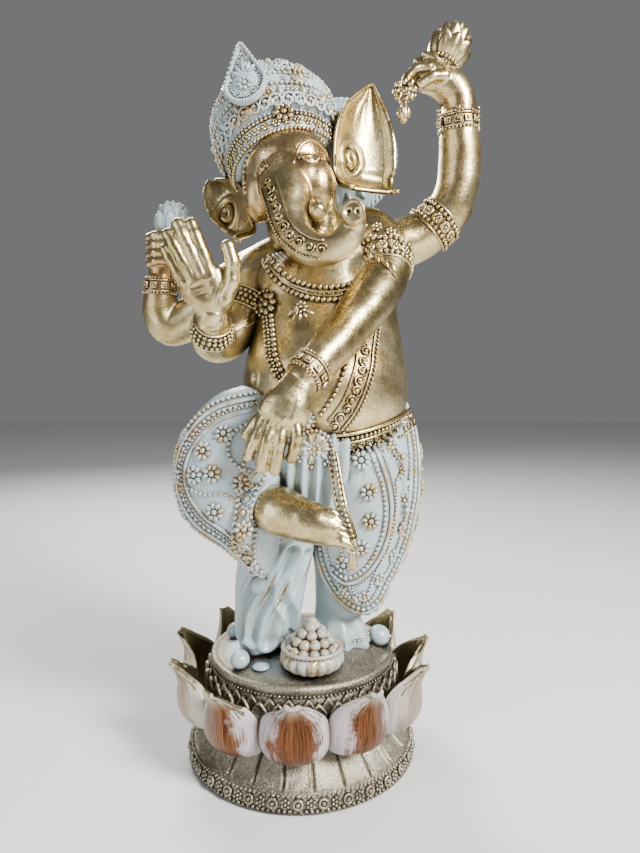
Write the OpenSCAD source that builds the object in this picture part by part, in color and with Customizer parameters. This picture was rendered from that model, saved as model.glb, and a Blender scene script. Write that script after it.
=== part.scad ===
// Dancing elephant-headed devotional figurine on a lotus pedestal, cast in resin as
// separate pieces and pinned together. Millimetres, +Z up, the figure faces -Y, and the
// origin is the centre of the pedestal's underside.

/* [Pedestal] */
// Radius of the flared foot at its beaded rim
base_r = 40; // [36:0.5:44]
// Height of the beaded rim
rim_h = 5; // [4:0.5:6]
// Thickness of the felt under the foot
pad_h = 0.8; // [0.5:0.1:1.5]
// Radius of the drum's top edge
drum_r = 31; // [29:0.5:33]
// Height of the drum's top edge
drum_top = 34.5; // [33:0.5:36]
// How far the drum's top rises in the middle
dome_rise = 5; // [3:0.5:6]
// Number of lotus petals around the drum
petal_count = 11; // [8:1:12]
// Direction of the first petal, seen from above, from +X
petal_start = 268; // [260:1:276]
// Radius of the petal tips
petal_tip_r = 45.6; // [44:0.2:49]
// Height of the petal tips
petal_tip_z = 37.2; // [35:0.2:40]

/* [Offering bowl] */
// Radius of the bowl at its rim
bowl_r = 9.6; // [8:0.2:11]
// Height of the bowl's rim
bowl_rim_z = 43.6; // [42:0.2:45]
// Radius of one sweet in the bowl
sweet_r = 1.75; // [1.5:0.05:2]

/* [Head] */
// Lean of the head to its right
head_lean = 15; // [5:1:25]
// Turn of the head to its right
head_turn = 25; // [10:1:35]
// Radius of the skull
skull_r = 14.6; // [13:0.2:16]
// Tilt of the crown back from upright
crown_tilt = 22; // [15:1:30]
// Radius of the crown where it meets the forehead
crown_r = 17; // [16:0.2:18]
// Radius of the crown at its widest
crown_rim_r = 21; // [19:0.5:23]
// Radius of the disc behind the head
halo_r = 20.5; // [18:0.5:23]

/* [Pins] */
// Radius of the steel rod up the standing leg
rod_r = 1.6; // [1:0.1:2]
// Radius of the dowel in each arm
dowel_r = 1.2; // [0.8:0.1:1.5]

/* [Hidden] */

gold = [0.72, 0.58, 0.33];
pale_gold = [0.66, 0.62, 0.50];
white = [0.78, 0.82, 0.85];
blush = [0.80, 0.70, 0.66];
steel = [0.6, 0.6, 0.62];

// The head's centre, and where the limbs bend. Each limb station is [x, y, z, radius].
head_c = [-3.6, -10, 191.5];
crown_c = [-5, -5.5, 198];
leg_axis = [12, 0];
floor_z = rim_h + 12;
rod_len = 108;
bowl_c = [3.9, -21];
limb_sides = 14;
sculpt_fn = 20;
finger_fn = 8;
palm_fn = 12;
arm_steps = 2;

function petal_name(i) = str("petal_", i < 10 ? "0" : "", i);

// ---------- curves and skins ----------

// One coordinate of a smooth curve through b and c, at t from 0 to 1.
function smooth(a, b, c, d, t) =
    0.5 * (2 * b + (c - a) * t + (2 * a - 5 * b + 4 * c - d) * t * t + (3 * b - a - 3 * c + d) * t * t * t);

// A list of stations refined by a smooth curve through them.
function refine(s, steps) =
    let (n = len(s))
    [for (k = [0:n - 2], j = [0:steps - 1])
        smooth(s[max(k - 1, 0)], s[k], s[k + 1], s[min(k + 2, n - 1)], j / steps),
     s[n - 1]];

function unit(v) = v / max(norm(v), 0.0001);

// A ring of points around p, square to direction d, with side as its first axis.
function ring_at(p, d, side, ra, rb, n) =
    let (w = unit(cross(d, side)), u = cross(w, unit(d)))
    [for (i = [0:n - 1]) p + u * ra * cos(360 * i / n) + w * rb * sin(360 * i / n)];

// Closes a list of rings into one solid.
module skin(rings) {
    n = len(rings[0]);
    m = len(rings);
    polyhedron(
        points = [for (r = rings) each r],
        faces = concat(
            [[for (i = [0:n - 1]) i]],
            [for (j = [0:m - 2], i = [0:n - 1])
                [j * n + i, (j + 1) * n + (i + 1) % n, j * n + (i + 1) % n]],
            [for (j = [0:m - 2], i = [0:n - 1])
                [j * n + i, (j + 1) * n + i, (j + 1) * n + (i + 1) % n]],
            [[for (i = [n - 1:-1:0]) (m - 1) * n + i]]),
        convexity = 6);
}

// A round limb through stations [x, y, z, radius], with a rounded far end. flat squeezes
// it across the side direction.
module limb(stations, side = [0, 1, 0], flat = 1, sides = limb_sides, steps = 3) {
    s = refine(stations, steps);
    n = len(s);
    last = s[n - 1];
    d_last = unit([for (k = [0:2]) last[k] - s[n - 2][k]]);
    body = [for (i = [0:n - 1])
        let (a = s[max(i - 1, 0)], b = s[min(i + 1, n - 1)])
        ring_at([s[i][0], s[i][1], s[i][2]], [b[0] - a[0], b[1] - a[1], b[2] - a[2]], side,
                s[i][3] * flat, s[i][3], sides)];
    cap = [for (t = [30, 60, 80])
        ring_at([last[0], last[1], last[2]] + d_last * last[3] * 0.8 * sin(t), d_last, side,
                last[3] * flat * cos(t), last[3] * cos(t), sides)];
    skin(concat(body, cap));
}

// A body stacked from level ellipses [x, y, z, x radius, y radius].
module stack(stations, sides = 28, steps = 3) {
    s = refine(stations, steps);
    skin([for (p = s)
        [for (i = [0:sides - 1]) [p[0] + p[3] * cos(360 * i / sides),
        p[1] + p[4] * sin(360 * i / sides), p[2]]]]);
}

// A cupped shell such as a petal or an ear: stations [x, y, z, half width, cup, thickness].
// The middle stands at y and the edges fall back by cup.
module cupped_shell(stations, across = 7, steps = 2) {
    s = refine(stations, steps);
    skin([for (p = s) concat(
        [for (i = [0:across - 1])
            let (u = 2 * i / (across - 1) - 1)
            [p[0] + p[3] * u, p[1] + p[4] * u * u, p[2]]],
        [for (i = [0:across - 1])
            let (u = 1 - 2 * i / (across - 1))
            [p[0] + p[3] * u * 0.98, p[1] + p[4] * u * u + p[5] * (1 - 0.55 * u * u), p[2]]])]);
}

module egg(c, r, fn = sculpt_fn) {
    translate(c) scale(r) sphere(r = 1, $fn = fn);
}

// Takes a shape as one mesh; a resize to zero keeps every dimension.
module one_mesh() {
    resize([0, 0, 0]) children();
}

// A round band around a limb at p, square to d.
module band(p, d, r, thick, height) {
    turn = [0, acos(unit(d)[2]), atan2(d[1], d[0])];
    c = thick * 0.3;
    translate(p) rotate(turn) rotate_extrude($fn = 48) translate([r - thick / 2, -height / 2]) polygon([
        [0, 0], [thick - c, 0], [thick, c], [thick, height - c], [thick - c, height], [0, height]]);
}

// ---------- pedestal ----------

module felt_pad() {
    color("darkolivegreen") cylinder(h = pad_h, r = base_r - 3, $fn = 96);
}

module foot_plinth() {
    bore = 12;
    color(pale_gold) rotate_extrude($fn = 96) polygon([
        [bore, pad_h], [base_r - 1.2, pad_h], [base_r, pad_h + 1], [base_r, rim_h - 0.8],
        [base_r - 1, rim_h + 0.4], [base_r - 3.5, rim_h + 1.4], [base_r - 7.5, rim_h + 4.4],
        [base_r - 11, rim_h + 8.6], [base_r - 13, floor_z], [bore, floor_z]]);
}

module lotus_drum() {
    color(pale_gold) difference() {
        rotate_extrude($fn = 96) polygon(concat(
            [[0, floor_z], [base_r - 13, floor_z], [drum_r - 1, floor_z + 3],
            [drum_r + 1.6, floor_z + 7.5],
             [drum_r + 2, floor_z + 11], [drum_r + 0.8, drum_top - 2.2],
             [drum_r + 0.4, drum_top - 0.8]],
            dome_line));
        rod_shape();
    }
}

// Height of the drum's domed top at radius r, and the top's outline from the rim inwards.
function dome_z(r) = drum_top + dome_rise * (1 - pow(r / (drum_r - 0.8), 2));
dome_line = [for (i = [0:8]) let (r = (drum_r - 0.8) * (1 - i / 8)) [r, dome_z(r)]];

// The space under the drum's top, which all that stands on it is cut against.
module drum_top_shape() {
    rotate_extrude($fn = 96) polygon(concat([[0, floor_z], [drum_r - 0.8, floor_z]], dome_line));
}

module petal(i) {
    z = petal_tip_z;
    r = petal_tip_r;
    color(blush) rotate([0, 0, petal_start + 90 + (i - 1) * 360 / petal_count]) difference() {
        cupped_shell([
            [0, -(r - 9), z - 21, 4.4, 2, 5], [0, -(r - 6), z - 18.8, 7.6, 4.6, 8],
            [0, -(r - 4.2), z - 14.6, 9.3, 7.2, 9.4], [0, -(r - 3.8), z - 10.6, 8.9, 7, 3.4],
            [0, -(r - 3.9), z - 7, 6.8, 4.8, 2.4],
            [0, -(r - 2.6), z - 3.4, 3.4, 1.6, 1.8], [0, -r, z, 0.5, 0.2, 0.9]]);
        cylinder(h = z * 2, r = drum_r + 2, $fn = 96);
    }
}

module sweet_bowl() {
    foot_z = 36.6;
    color(pale_gold) difference() {
        translate([bowl_c[0], bowl_c[1], 0]) rotate_extrude($fn = 64) polygon([
            [0, foot_z], [5.4, foot_z], [5.8, foot_z + 0.9], [bowl_r - 1.2, foot_z + 2.2],
            [bowl_r, foot_z + 4.2],
            [bowl_r - 0.2, bowl_rim_z - 1.6], [bowl_r - 0.9, bowl_rim_z - 0.9], [bowl_r, bowl_rim_z],
            [bowl_r - 1, bowl_rim_z], [bowl_r - 2, bowl_rim_z - 1.4], [bowl_r - 3.4, foot_z + 2.4],
            [0, foot_z + 1.6]]);
        drum_top_shape();
    }
}

// Sweets in a heap: each layer is [ring radius, how many, height above the first].
module bowl_sweets() {
    layers = [[6.2, 11, 0], [4.5, 8, 2.3], [2.5, 5, 4.6], [0, 1, 6.6]];
    color(gold) one_mesh() for (l = layers, k = [0:l[1] - 1])
        translate([bowl_c[0] + l[0] * cos(360 * k / l[1] + 9 * l[2]),
                   bowl_c[1] + l[0] * sin(360 * k / l[1] + 9 * l[2]), bowl_rim_z - 0.3 + l[2]])
            sphere(r = sweet_r, $fn = finger_fn);
}

// Each loose sweet is [x, y, radius]; it sits a little way into the drum's top.
module loose_sweets() {
    spots = [[-19.4, -18, 3.2], [27.2, 1, 3.8], [-10, -21.5, 2.6], [-24, 5, 3]];
    color(white) difference() {
        for (s = spots)
            translate([s[0], s[1], dome_z(norm([s[0], s[1]])) + s[2] * 0.8]) sphere(r = s[2], $fn = 32);
        drum_top_shape();
    }
}

// The rod's space, from the plinth's top up through the leg and hip into the torso.
module rod_shape() {
    translate([leg_axis[0], leg_axis[1], floor_z]) cylinder(h = rod_len, r = rod_r, $fn = 32);
}

module leg_rod() { color(steel) rod_shape(); }

// ---------- legs and clothing ----------

leg_stations = [[13, -1, 36.5, 10, 8.5], [13, -1, 41, 9, 8], [12.5, 0, 50, 7.6, 7.4],
                [12, 0, 62, 7.4, 7.4],
                [11.5, 0, 74, 9, 9], [10.5, 0, 88, 13, 12], [9, -1, 96, 15, 13]];
hip_stations = [[22.3, -8, 49.5, 2.5, 3.5], [21, -7, 54, 8, 9], [19.6, -5, 62, 13, 13],
                [20, -3.5, 72, 16, 17],
                [21, -3, 82, 18.4, 19], [20.6, -3, 92, 20.4, 20.5], [17.6, -3.5, 102, 22.6, 22.5],
                [13.6, -4, 110, 25, 23.4],
                [9, -4, 117, 24.6, 22]];
knee_stations = [[-9, -29, 68.5, 2.5, 3], [-9.5, -27, 73, 7, 7], [-12, -24.5, 79, 11, 11],
                 [-17, -22, 86, 15, 14],
                 [-20, -20, 94, 17.5, 16], [-20.5, -19, 103, 17.5, 16.5], [-17, -16, 111, 15.5, 16],
                 [-12, -12, 117.5, 11, 13], [-9, -9, 120, 6, 9]];
drape_stations = [[-10.5, -11, 38.8, 6, 5], [-12, -9, 43, 9.5, 7.5], [-11, -7.5, 52, 11.5, 8.5],
                  [-10, -7, 62, 12, 9],
                  [-8, -7, 71, 12, 9.5], [-4, -8, 80, 11, 10], [2, -8, 90, 11, 12]];
torso_stations = [[8, -4, 106, 20, 18], [8, -4.5, 112, 24.5, 22.5], [8, -5, 120, 26.6, 25],
                  [8.2, -5, 129, 27, 25.4],
                  [8.4, -4.5, 139, 25.6, 22.5], [8.4, -4, 149, 24, 18.5], [8.4, -3.5, 158, 23.6, 16],
                  [8.2, -3, 167, 23, 14.5], [7, -3.5, 174, 18, 12.5], [4.5, -4.5, 180, 11.5, 10],
                  [2.5, -6, 186, 8.5, 8.5]];

module leg_shape() { stack(leg_stations, 18, 2); }
module hip_shape() { stack(hip_stations, 24, 2); }
module knee_shape() { stack(knee_stations, 24, 2); }
module drape_shape() { stack(drape_stations, 18, 2); }
module torso_shape() { stack(torso_stations, 28, 2); }

module standing_leg() {
    color(white) difference() {
        one_mesh() difference() { leg_shape(); torso_shape(); drum_top_shape(); }
        rod_shape();
    }
}

module centre_drape() {
    color(white) one_mesh() difference() {
        drape_shape();
        leg_shape();
        torso_shape();
        drum_top_shape();
    }
}

module drape_bead() {
    color(white) translate([-11.3, -17.6, 60.2]) sphere(r = 2.7, $fn = 32);
}

module left_hip_drape() {
    color(white) difference() {
        one_mesh() difference() {
            hip_shape();
            leg_shape();
            torso_shape();
            drape_shape();
        }
        rod_shape();
    }
}

module right_knee_drape() {
    color(white) one_mesh() difference() {
        knee_shape();
        torso_shape();
        hip_shape();
        drape_shape();
        leg_shape();
    }
}

foot_stations = [[-8, -32, 89, 6.6], [-4, -35.6, 88.6, 7.2], [1, -38.4, 87.2, 6.4], [7, -40, 85, 5],
                 [12.5, -40.5, 83.4, 3.9]];

module foot_shape() { limb(foot_stations, side = [0, 1, 0], flat = 0.8); }

module raised_foot() {
    color(gold) one_mesh() difference() {
        union() {
            foot_shape();
            for (k = [0:4])
                translate([14.4 - 0.5 * k, -42.4 + 0.6 * k, 81.2 + 1.35 * k]) scale([1.9, 1,
                    0.85]) sphere(r = 1.25, $fn = 12);
        }
        knee_shape();
        hip_shape();
    }
}

module ankle_cuff() {
    color(gold) band([-5.6, -34.6, 87], [1, -0.5, -0.2], 8, 2.2, 2.6);
}

module front_pleats() {
    color(white) one_mesh() difference() {
        stack([[3, -24, 88, 7, 4], [3, -26, 95, 9, 5], [4, -26.5, 102, 9.5, 5.5], [5, -25, 109, 9, 5]],
            20, 2);
        torso_shape();
        hip_shape();
        knee_shape();
        foot_shape();
    }
}

sash_stations = [[9.5, -31, 106, 1.4], [11, -32.6, 100, 1.5], [12.6, -35, 92, 1.5],
                 [14.4, -38.6, 87, 1.6],
                 [15.6, -42.6, 83.5, 1.8]];

module sash_cord() {
    color(gold) one_mesh() difference() {
        limb(sash_stations, sides = 10, steps = 2);
        hip_shape();
        foot_shape();
        front_pleats();
    }
}

module waist_belt() {
    color(gold) one_mesh() difference() {
        stack([[9, -4, 112.2, 27.4, 25.2], [9, -4, 113.2, 28.3, 26], [9, -4, 115.6, 28.6, 26.2],
            [9, -4, 116.8, 28, 25.8]], 40, 1);
        torso_shape();
        hip_shape();
        knee_shape();
    }
}

module belt_medallion() {
    color(white) translate([5, -28.6, 107.5]) rotate([84, 0, 8]) difference() {
        cylinder(h = 2.6, r = 6, $fn = 48);
        translate([0, 0, -5]) sphere(r = 5.5, $fn = 32);
    }
}

// ---------- torso and its jewellery ----------

module torso() {
    color(gold) difference() {
        one_mesh() difference() { torso_shape(); head_shape(); crown_shape(); }
        rod_shape();
        dowel_bore(left_dowel);
        dowel_bore(right_dowel);
    }
}

// A necklace of round section that lies on the chest: a tilted ring cut back by the torso.
module chest_ring(c, turn, ra, rb, r) {
    translate(c) rotate(turn) scale([1, rb / ra, 1]) rotate_extrude($fn = 40) translate([ra,
        0]) circle(r = r, $fn = 14);
}

module collar() {
    color(gold) one_mesh() difference() {
        chest_ring([4, -7, 166], [28, -4, 0], 17, 13.5, 2.2);
        torso_shape();
        arm_cutters();
    }
}

module pendant_chain() {
    color(gold) one_mesh() difference() {
        union() {
            limb([[-10, -18, 158, 1.6], [-9, -21.5, 150, 1.7], [-8.2, -24.5, 142, 1.6],
                [-6.5, -28.5, 133, 1.5], [-1, -31.5, 127, 1.5]],
                 sides = 10, steps = 2);
            translate([-9, -19.6, 153.5]) rotate([70, 0, -22]) cylinder(h = 2.4, r = 4.6, $fn = 24);
        }
        torso_shape();
        arm_cutters();
    }
}

module belly_garland() {
    color(gold) one_mesh() difference() {
        limb([[22, -22.5, 146, 2], [20.5, -26.5, 139, 2.2], [19, -29.5, 131, 2.4],
            [16.5, -30.6, 123, 2.4], [10.5, -30.6, 115, 2.3],
              [6, -29.6, 111, 2]], sides = 10, steps = 2);
        torso_shape();
        arm_cutters();
        hip_shape();
    }
}

// ---------- head ----------

// Places children in the head's own frame, facing -Y with +Z up.
module head_frame() {
    translate(head_c) rotate([0, -head_lean, 0]) rotate([0, 0, -head_turn]) children();
}

module crown_frame() {
    translate(crown_c) rotate([0, -head_lean, 0]) rotate([-crown_tilt, 0, 0]) children();
}

trunk_stations = [
    [-4, -19, 189, 8.6], [-3.6, -25, 181.5, 6.8], [-2.9, -29.5, 174.8, 5.5], [-0.6, -32.5, 169, 5.1],
    [2.6, -34.8, 165.2, 4.8], [6.6, -36.4, 163.6, 4.4], [10.6, -37.4, 164.2, 4.1],
    [13.6, -38.2, 166.8, 3.8], [15.2, -39.4, 170.2, 3.6], [15.2, -43, 172.4, 3.5]];

module trunk_shape() { limb(trunk_stations, side = [0, 1, 0], steps = 3); }

module head_shape() {
    head_frame() {
        hull() {
            egg([0, 0, 0], [skull_r, skull_r, skull_r]);
            egg([0, -2, -8], [skull_r - 2.2, skull_r - 3, 11]);
        }
        egg([0, -5.5, -13], [9.4, 9, 8]);
        hull() {
            egg([0, -7, 0], [9.5, 9.6, 9]);
            egg([0, -8, -9], [7.5, 9, 7]);
        }
    }
}

module crown_shape() {
    crown_frame() rotate_extrude($fn = 44) polygon([
        [0, -2], [crown_r, -2], [crown_r + 1, -0.8], [crown_r + 1.4, 3.4], [crown_rim_r - 0.8, 5.4],
        [crown_rim_r, 12],
        [crown_rim_r - 0.8, 18], [crown_rim_r - 3.6, 24], [crown_rim_r - 8.4, 29.4],
        [crown_rim_r - 14, 33], [0, 35.2]]);
}

module head() {
    color(gold) one_mesh() difference() { head_shape(); crown_shape(); }
}

module trunk() {
    color(gold) one_mesh() difference() { trunk_shape(); head_shape(); }
}

module tusk() {
    color(gold) one_mesh() difference() {
        limb([[4.2, -19, 180.5, 2.9], [5.2, -24, 178, 2.8], [5.8, -28.5, 176, 2.6]], steps = 2);
        head_shape();
        trunk_shape();
    }
}

// The ear spreads up to a pointed tip, with its inner edge along the head.
module left_ear() {
    color(gold) one_mesh() difference() {
        translate([20.5, -4, 200]) rotate([0, 0, 30]) cupped_shell([
            [-1, -3, -11.5, 4, -0.6, 1.8], [-0.5, -1.5, -9.6, 8.6, -2, 2.2], [0, 0, -5, 11.4, -3.6, 2],
            [0, 0.6, 0, 12, -4.4, 1.9],
            [0.5, 0.8, 7, 11.3, -4.2, 1.8], [1.6, 1, 14.5, 8.6, -3, 1.7],
            [3.8, 1.4, 20, 4.9, -1.5, 1.5],
            [6, 2, 25, 0.5, -0.1, 1]], steps = 1);
        head_shape();
        crown_shape();
    }
}

module right_ear() {
    color(gold) one_mesh() difference() {
        translate([-22, -2, 184]) rotate([0, 0, -39]) cupped_shell([
            [8, -1, -11.5, 1.2, -0.3, 1.6], [6, -1, -8.5, 5, -1.2, 2], [3, -0.5, -4, 8, -2.4, 1.9],
            [0, 0, 2, 9.6, -3, 1.8],
            [-2, 0.2, 6, 9, -2.8, 1.7], [-5.5, 0.4, 9.6, 6.4, -1.6, 1.6],
            [-10, 0.6, 12, 1.6, -0.4, 1.2]], steps = 1);
        head_shape();
        crown_shape();
        torso_shape();
    }
}

module crown() {
    color(white) one_mesh() difference() { crown_shape(); halo_shape(); }
}

module crown_plaque() {
    color(white) one_mesh() difference() {
        translate([-14.4, -24, 208]) rotate([-16, -12, -12]) rotate([90, 0, 0]) hull() {
            translate([0, 8, 0]) scale([1, 1.12, 1]) cylinder(h = 2.6, r = 6.6, center = true,
                $fn = 32);
            translate([0, 22.6, 0]) cylinder(h = 2, r = 0.5, center = true, $fn = 12);
        }
        crown_shape();
    }
}

module halo_shape() {
    translate([12.4, 13.5, 206.5]) rotate([90, 0, -head_turn * 0.4])
        cylinder(h = 3, r = halo_r, center = true, $fn = 48);
}

module crown_halo() {
    color(white) one_mesh() difference() { halo_shape(); head_shape(); }
}

// ---------- arms ----------

fr_arm = [[-6, -2, 168, 8.6], [-14.3, -3, 163, 8.7], [-17.4, -5, 154.4, 8], [-20.8, -8, 145.2, 7.2],
          [-25.2, -12.5, 140, 6.9],
          [-27.4, -18, 140.6, 6.7], [-26, -23.6, 144.6, 5.8]];
fl_arm = [[12, -4, 176, 7.9], [21.5, -5.5, 176.2, 8.2], [27, -9, 169.9, 8.2], [26.6, -14, 160.6, 8],
          [20.4, -22, 150.5, 7.5],
          [12.8, -30, 140.7, 6.7], [5.8, -37, 132.6, 5.9], [2.2, -40.4, 128.6, 5.2]];
rr_arm = [[-10, 6, 168, 8.4], [-21.9, 9, 163, 8.4], [-36.5, 11, 152.6, 7.6], [-46.6, 11, 147, 6.9],
          [-50, 10, 151, 6.4],
          [-50.2, 9, 157, 5.8], [-49.6, 8.8, 162.6, 5.4]];
rl_arm = [[24, 3, 172, 9], [33, 4.6, 174.6, 8.8], [42.6, 5, 178.6, 8], [49.6, 4, 184.8, 7.5],
          [52.8, 3, 192.6, 7.2],
          [53.6, 2, 202.3, 7], [53.1, 1, 210.1, 6.6], [52.6, 0.6, 216, 6]];
left_dowel = [[21, 2.4, 171], [36, 5, 175.6]];
right_dowel = [[-4, 4.5, 170], [-20, 8.6, 163.8]];

module arm_cutters() {
    limb(fr_arm, steps = arm_steps);
    limb(fl_arm, steps = arm_steps);
    trunk_shape();
    head_shape();
}

module dowel(ends, r) {
    d = ends[1] - ends[0];
    translate(ends[0]) rotate([0, acos(d[2] / norm(d)), atan2(d[1],
        d[0])]) cylinder(h = norm(d), r = r, $fn = 32);
}

module dowel_bore(ends) { dowel(ends, dowel_r); }

module front_right_arm() {
    color(gold) one_mesh() difference() { limb(fr_arm, steps = arm_steps); torso_shape(); }
}

module front_left_arm() {
    color(gold) one_mesh() difference() { limb(fl_arm, steps = arm_steps); torso_shape(); }
}

module rear_right_arm() {
    color(gold) difference() {
        one_mesh() difference() { limb(rr_arm, steps = arm_steps); torso_shape();
            limb(fr_arm, steps = arm_steps); }
        dowel_bore(right_dowel);
    }
}

module rear_left_arm() {
    color(gold) difference() {
        one_mesh() difference() { limb(rl_arm, steps = arm_steps); torso_shape();
            limb(fl_arm, steps = arm_steps); }
        dowel_bore(left_dowel);
    }
}

module rear_left_dowel() { color(steel) dowel(left_dowel, dowel_r); }
module rear_right_dowel() { color(steel) dowel(right_dowel, dowel_r); }

// A finger bent at its joints: one hull for each bone.
module finger(points, r) {
    for (i = [0:len(points) - 2]) hull() {
        translate(points[i]) sphere(r = r * (1 - 0.08 * i), $fn = finger_fn);
        translate(points[i + 1]) sphere(r = r * (1 - 0.08 * (i + 1)), $fn = finger_fn);
    }
}

module front_right_hand() {
    color(gold) one_mesh() difference() {
        union() {
            hull() {
                egg([-25.8, -26.5, 146.5], [5.4, 3.4, 3.6], palm_fn);
                egg([-28.6, -29, 158.2], [6.4, 2.8, 4], palm_fn);
                egg([-22.6, -29, 154], [4.2, 3, 5], palm_fn);
            }
            finger([[-26.4, -29, 159], [-28.6, -29.6, 166.5], [-31, -30, 172]], 1.85);
            finger([[-28.8, -29.6, 158.5], [-31.6, -30.4, 166], [-34.2, -30.6, 171.6]], 1.9);
            finger([[-31, -29.6, 157], [-34.2, -30.2, 163.6], [-36.8, -30.4, 168.6]], 1.8);
            finger([[-32.6, -29.2, 154.6], [-35.6, -29.6, 160], [-38, -29.6, 164.2]], 1.65);
            finger([[-21, -29.4, 153.5], [-19, -30.6, 159.4], [-19.6, -31.2, 165.4]], 2);
        }
        limb(fr_arm, steps = arm_steps);
    }
}

module front_left_hand() {
    color(gold) one_mesh() difference() {
        union() {
            hull() {
                egg([0.6, -41.6, 126.4], [5, 3.4, 3], palm_fn);
                egg([-4.6, -44, 116.6], [6.4, 2.8, 3.4], palm_fn);
            }
            finger([[-0.4, -44.2, 116.4], [-0.2, -45.6, 111.6], [-1.2, -45, 107.4]], 1.7);
            finger([[-3.4, -44.8, 115.2], [-4.6, -46, 109], [-5.8, -45.4, 103.6]], 1.85);
            finger([[-6.6, -44.8, 115.2], [-8, -46, 109], [-9.4, -45, 104.2]], 1.8);
            finger([[-9.2, -43.8, 116.6], [-11.2, -44.8, 111.4], [-12.8, -44, 107.4]], 1.7);
            finger([[-3.4, -41.2, 123], [-9, -41, 118], [-13.6, -41, 113]], 1.8);
        }
        limb(fl_arm, steps = arm_steps);
        torso_shape();
        knee_shape();
    }
}

module rear_right_palm() {
    hull() {
        egg([-49.4, 8.6, 165], [4.6, 3.8, 3], palm_fn);
        egg([-48, 8, 173.6], [5.4, 4.2, 4], palm_fn);
    }
}

module rear_right_hand() {
    color(gold) one_mesh() difference() {
        union() {
            rear_right_palm();
            for (k = [0:3])
                finger([[-44.4, 5.4, 169.5 + 2.7 * k], [-48, 2.8, 169.5 + 2.7 * k],
                    [-52.4, 5.6, 169 + 2.7 * k]], 1.6);
            finger([[-44.6, 10, 171], [-42.6, 7.6, 175], [-44.2, 5, 178.6]], 1.7);
        }
        limb(rr_arm, steps = arm_steps);
    }
}

module rear_left_palm() {
    limb([[52.6, 0.6, 216, 6], [52.6, 0.4, 220.4, 6.2], [50.2, 0, 224.4, 6.2], [45.6, -1, 226.8, 5.4],
        [41, -1.6, 227.4, 4.8]],
         steps = 1);
}

module rear_left_hand() {
    color(gold) one_mesh() difference() {
        union() {
            rear_left_palm();
            for (k = [0:3])
                finger([[40.6, -4.6 + 2.2 * k, 228.4], [36.2, -4.8 + 2.2 * k, 225.4],
                    [35.4, -4.8 + 2.2 * k, 220.6]], 1.7);
            finger([[46.6, -5, 226], [42.6, -6.4, 224.6], [38.4, -6, 222]], 1.8);
        }
        limb(rl_arm, steps = arm_steps);
    }
}

module front_right_bracelet() { color(gold) band([-26.4, -22.2, 143.2], [0.3, -0.8, 0.55],
    6.9, 1.8, 3); }
module front_left_bracelet() { color(gold) band([3.2, -39.4, 129.8], [-0.6, -0.48, -0.64],
    6.6, 1.8, 3); }
module front_left_armlet() { color(gold) band([27.2, -11.6, 165.4], [-0.05, -0.5, -0.86], 9.1, 1.8, 5);
    }
module rear_right_bracelet() { color(gold) band([-49.8, 8.8, 161], [0.05, -0.05, 1], 6.2, 1.6, 3); }
module rear_left_bracelet() { color(gold) band([52.8, 0.8, 213.6], [-0.08, -0.08, 1], 7.1, 1.6, 3); }
module rear_left_armlet() { color(gold) band([46.2, 4.6, 181.6], [0.74, -0.08, 0.67], 8.8, 1.8, 6); }

// A half-open lotus bud on its calyx.
module bud_shape(c, turn, r) {
    translate(c) rotate(turn) rotate_extrude($fn = 40) polygon([
        [0, -r * 0.9], [r * 0.62, -r * 0.9], [r * 0.74, -r * 0.7], [r * 0.7, -r * 0.55],
        [r * 0.95, -r * 0.2],
        [r, r * 0.25], [r * 0.9, r * 0.7], [r * 0.66, r], [r * 0.3, r * 1.12], [0, r * 1.15]]);
}

module rear_right_bud() {
    color(white) one_mesh() difference() {
        bud_shape([-45, 8, 182.8], [0, 8, 0], 6.4);
        rear_right_palm();
    }
}

module rear_left_bud() {
    color(gold) one_mesh() difference() {
        bud_shape([49.2, -0.2, 237.4], [0, 24, 0], 7);
        rear_left_palm();
    }
}

// A short loop of beads held in the raised hand.
module prayer_beads() {
    color(gold) {
        for (k = [0:5]) translate([34.6 - 1.2 * sin(k * 30), -7, 222.6 - 1.5 * k]) sphere(r = 1.1,
            $fn = 20);
        translate([34.6, -7, 212.2]) cylinder(h = 2.4, r1 = 0.4, r2 = 1.1, $fn = 20);
    }
}

felt_pad();
foot_plinth();
lotus_drum();
for (i = [1:petal_count]) petal(i);
sweet_bowl();
bowl_sweets();
loose_sweets();
leg_rod();
standing_leg();
centre_drape();
drape_bead();
left_hip_drape();
right_knee_drape();
raised_foot();
ankle_cuff();
front_pleats();
sash_cord();
waist_belt();
belt_medallion();
torso();
belly_garland();
collar();
pendant_chain();
head();
trunk();
tusk();
left_ear();
right_ear();
crown();
crown_plaque();
crown_halo();
front_right_arm();
front_right_hand();
front_right_bracelet();
front_left_arm();
front_left_armlet();
front_left_hand();
front_left_bracelet();
rear_right_arm();
rear_right_hand();
rear_right_bracelet();
rear_right_bud();
rear_left_arm();
rear_left_armlet();
rear_left_hand();
rear_left_bracelet();
rear_left_bud();
prayer_beads();
rear_left_dowel();
rear_right_dowel();
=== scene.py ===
import math
import random

import bmesh
import bpy
from mathutils import Matrix, Vector, kdtree, noise
from mathutils.bvhtree import BVHTree


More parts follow.
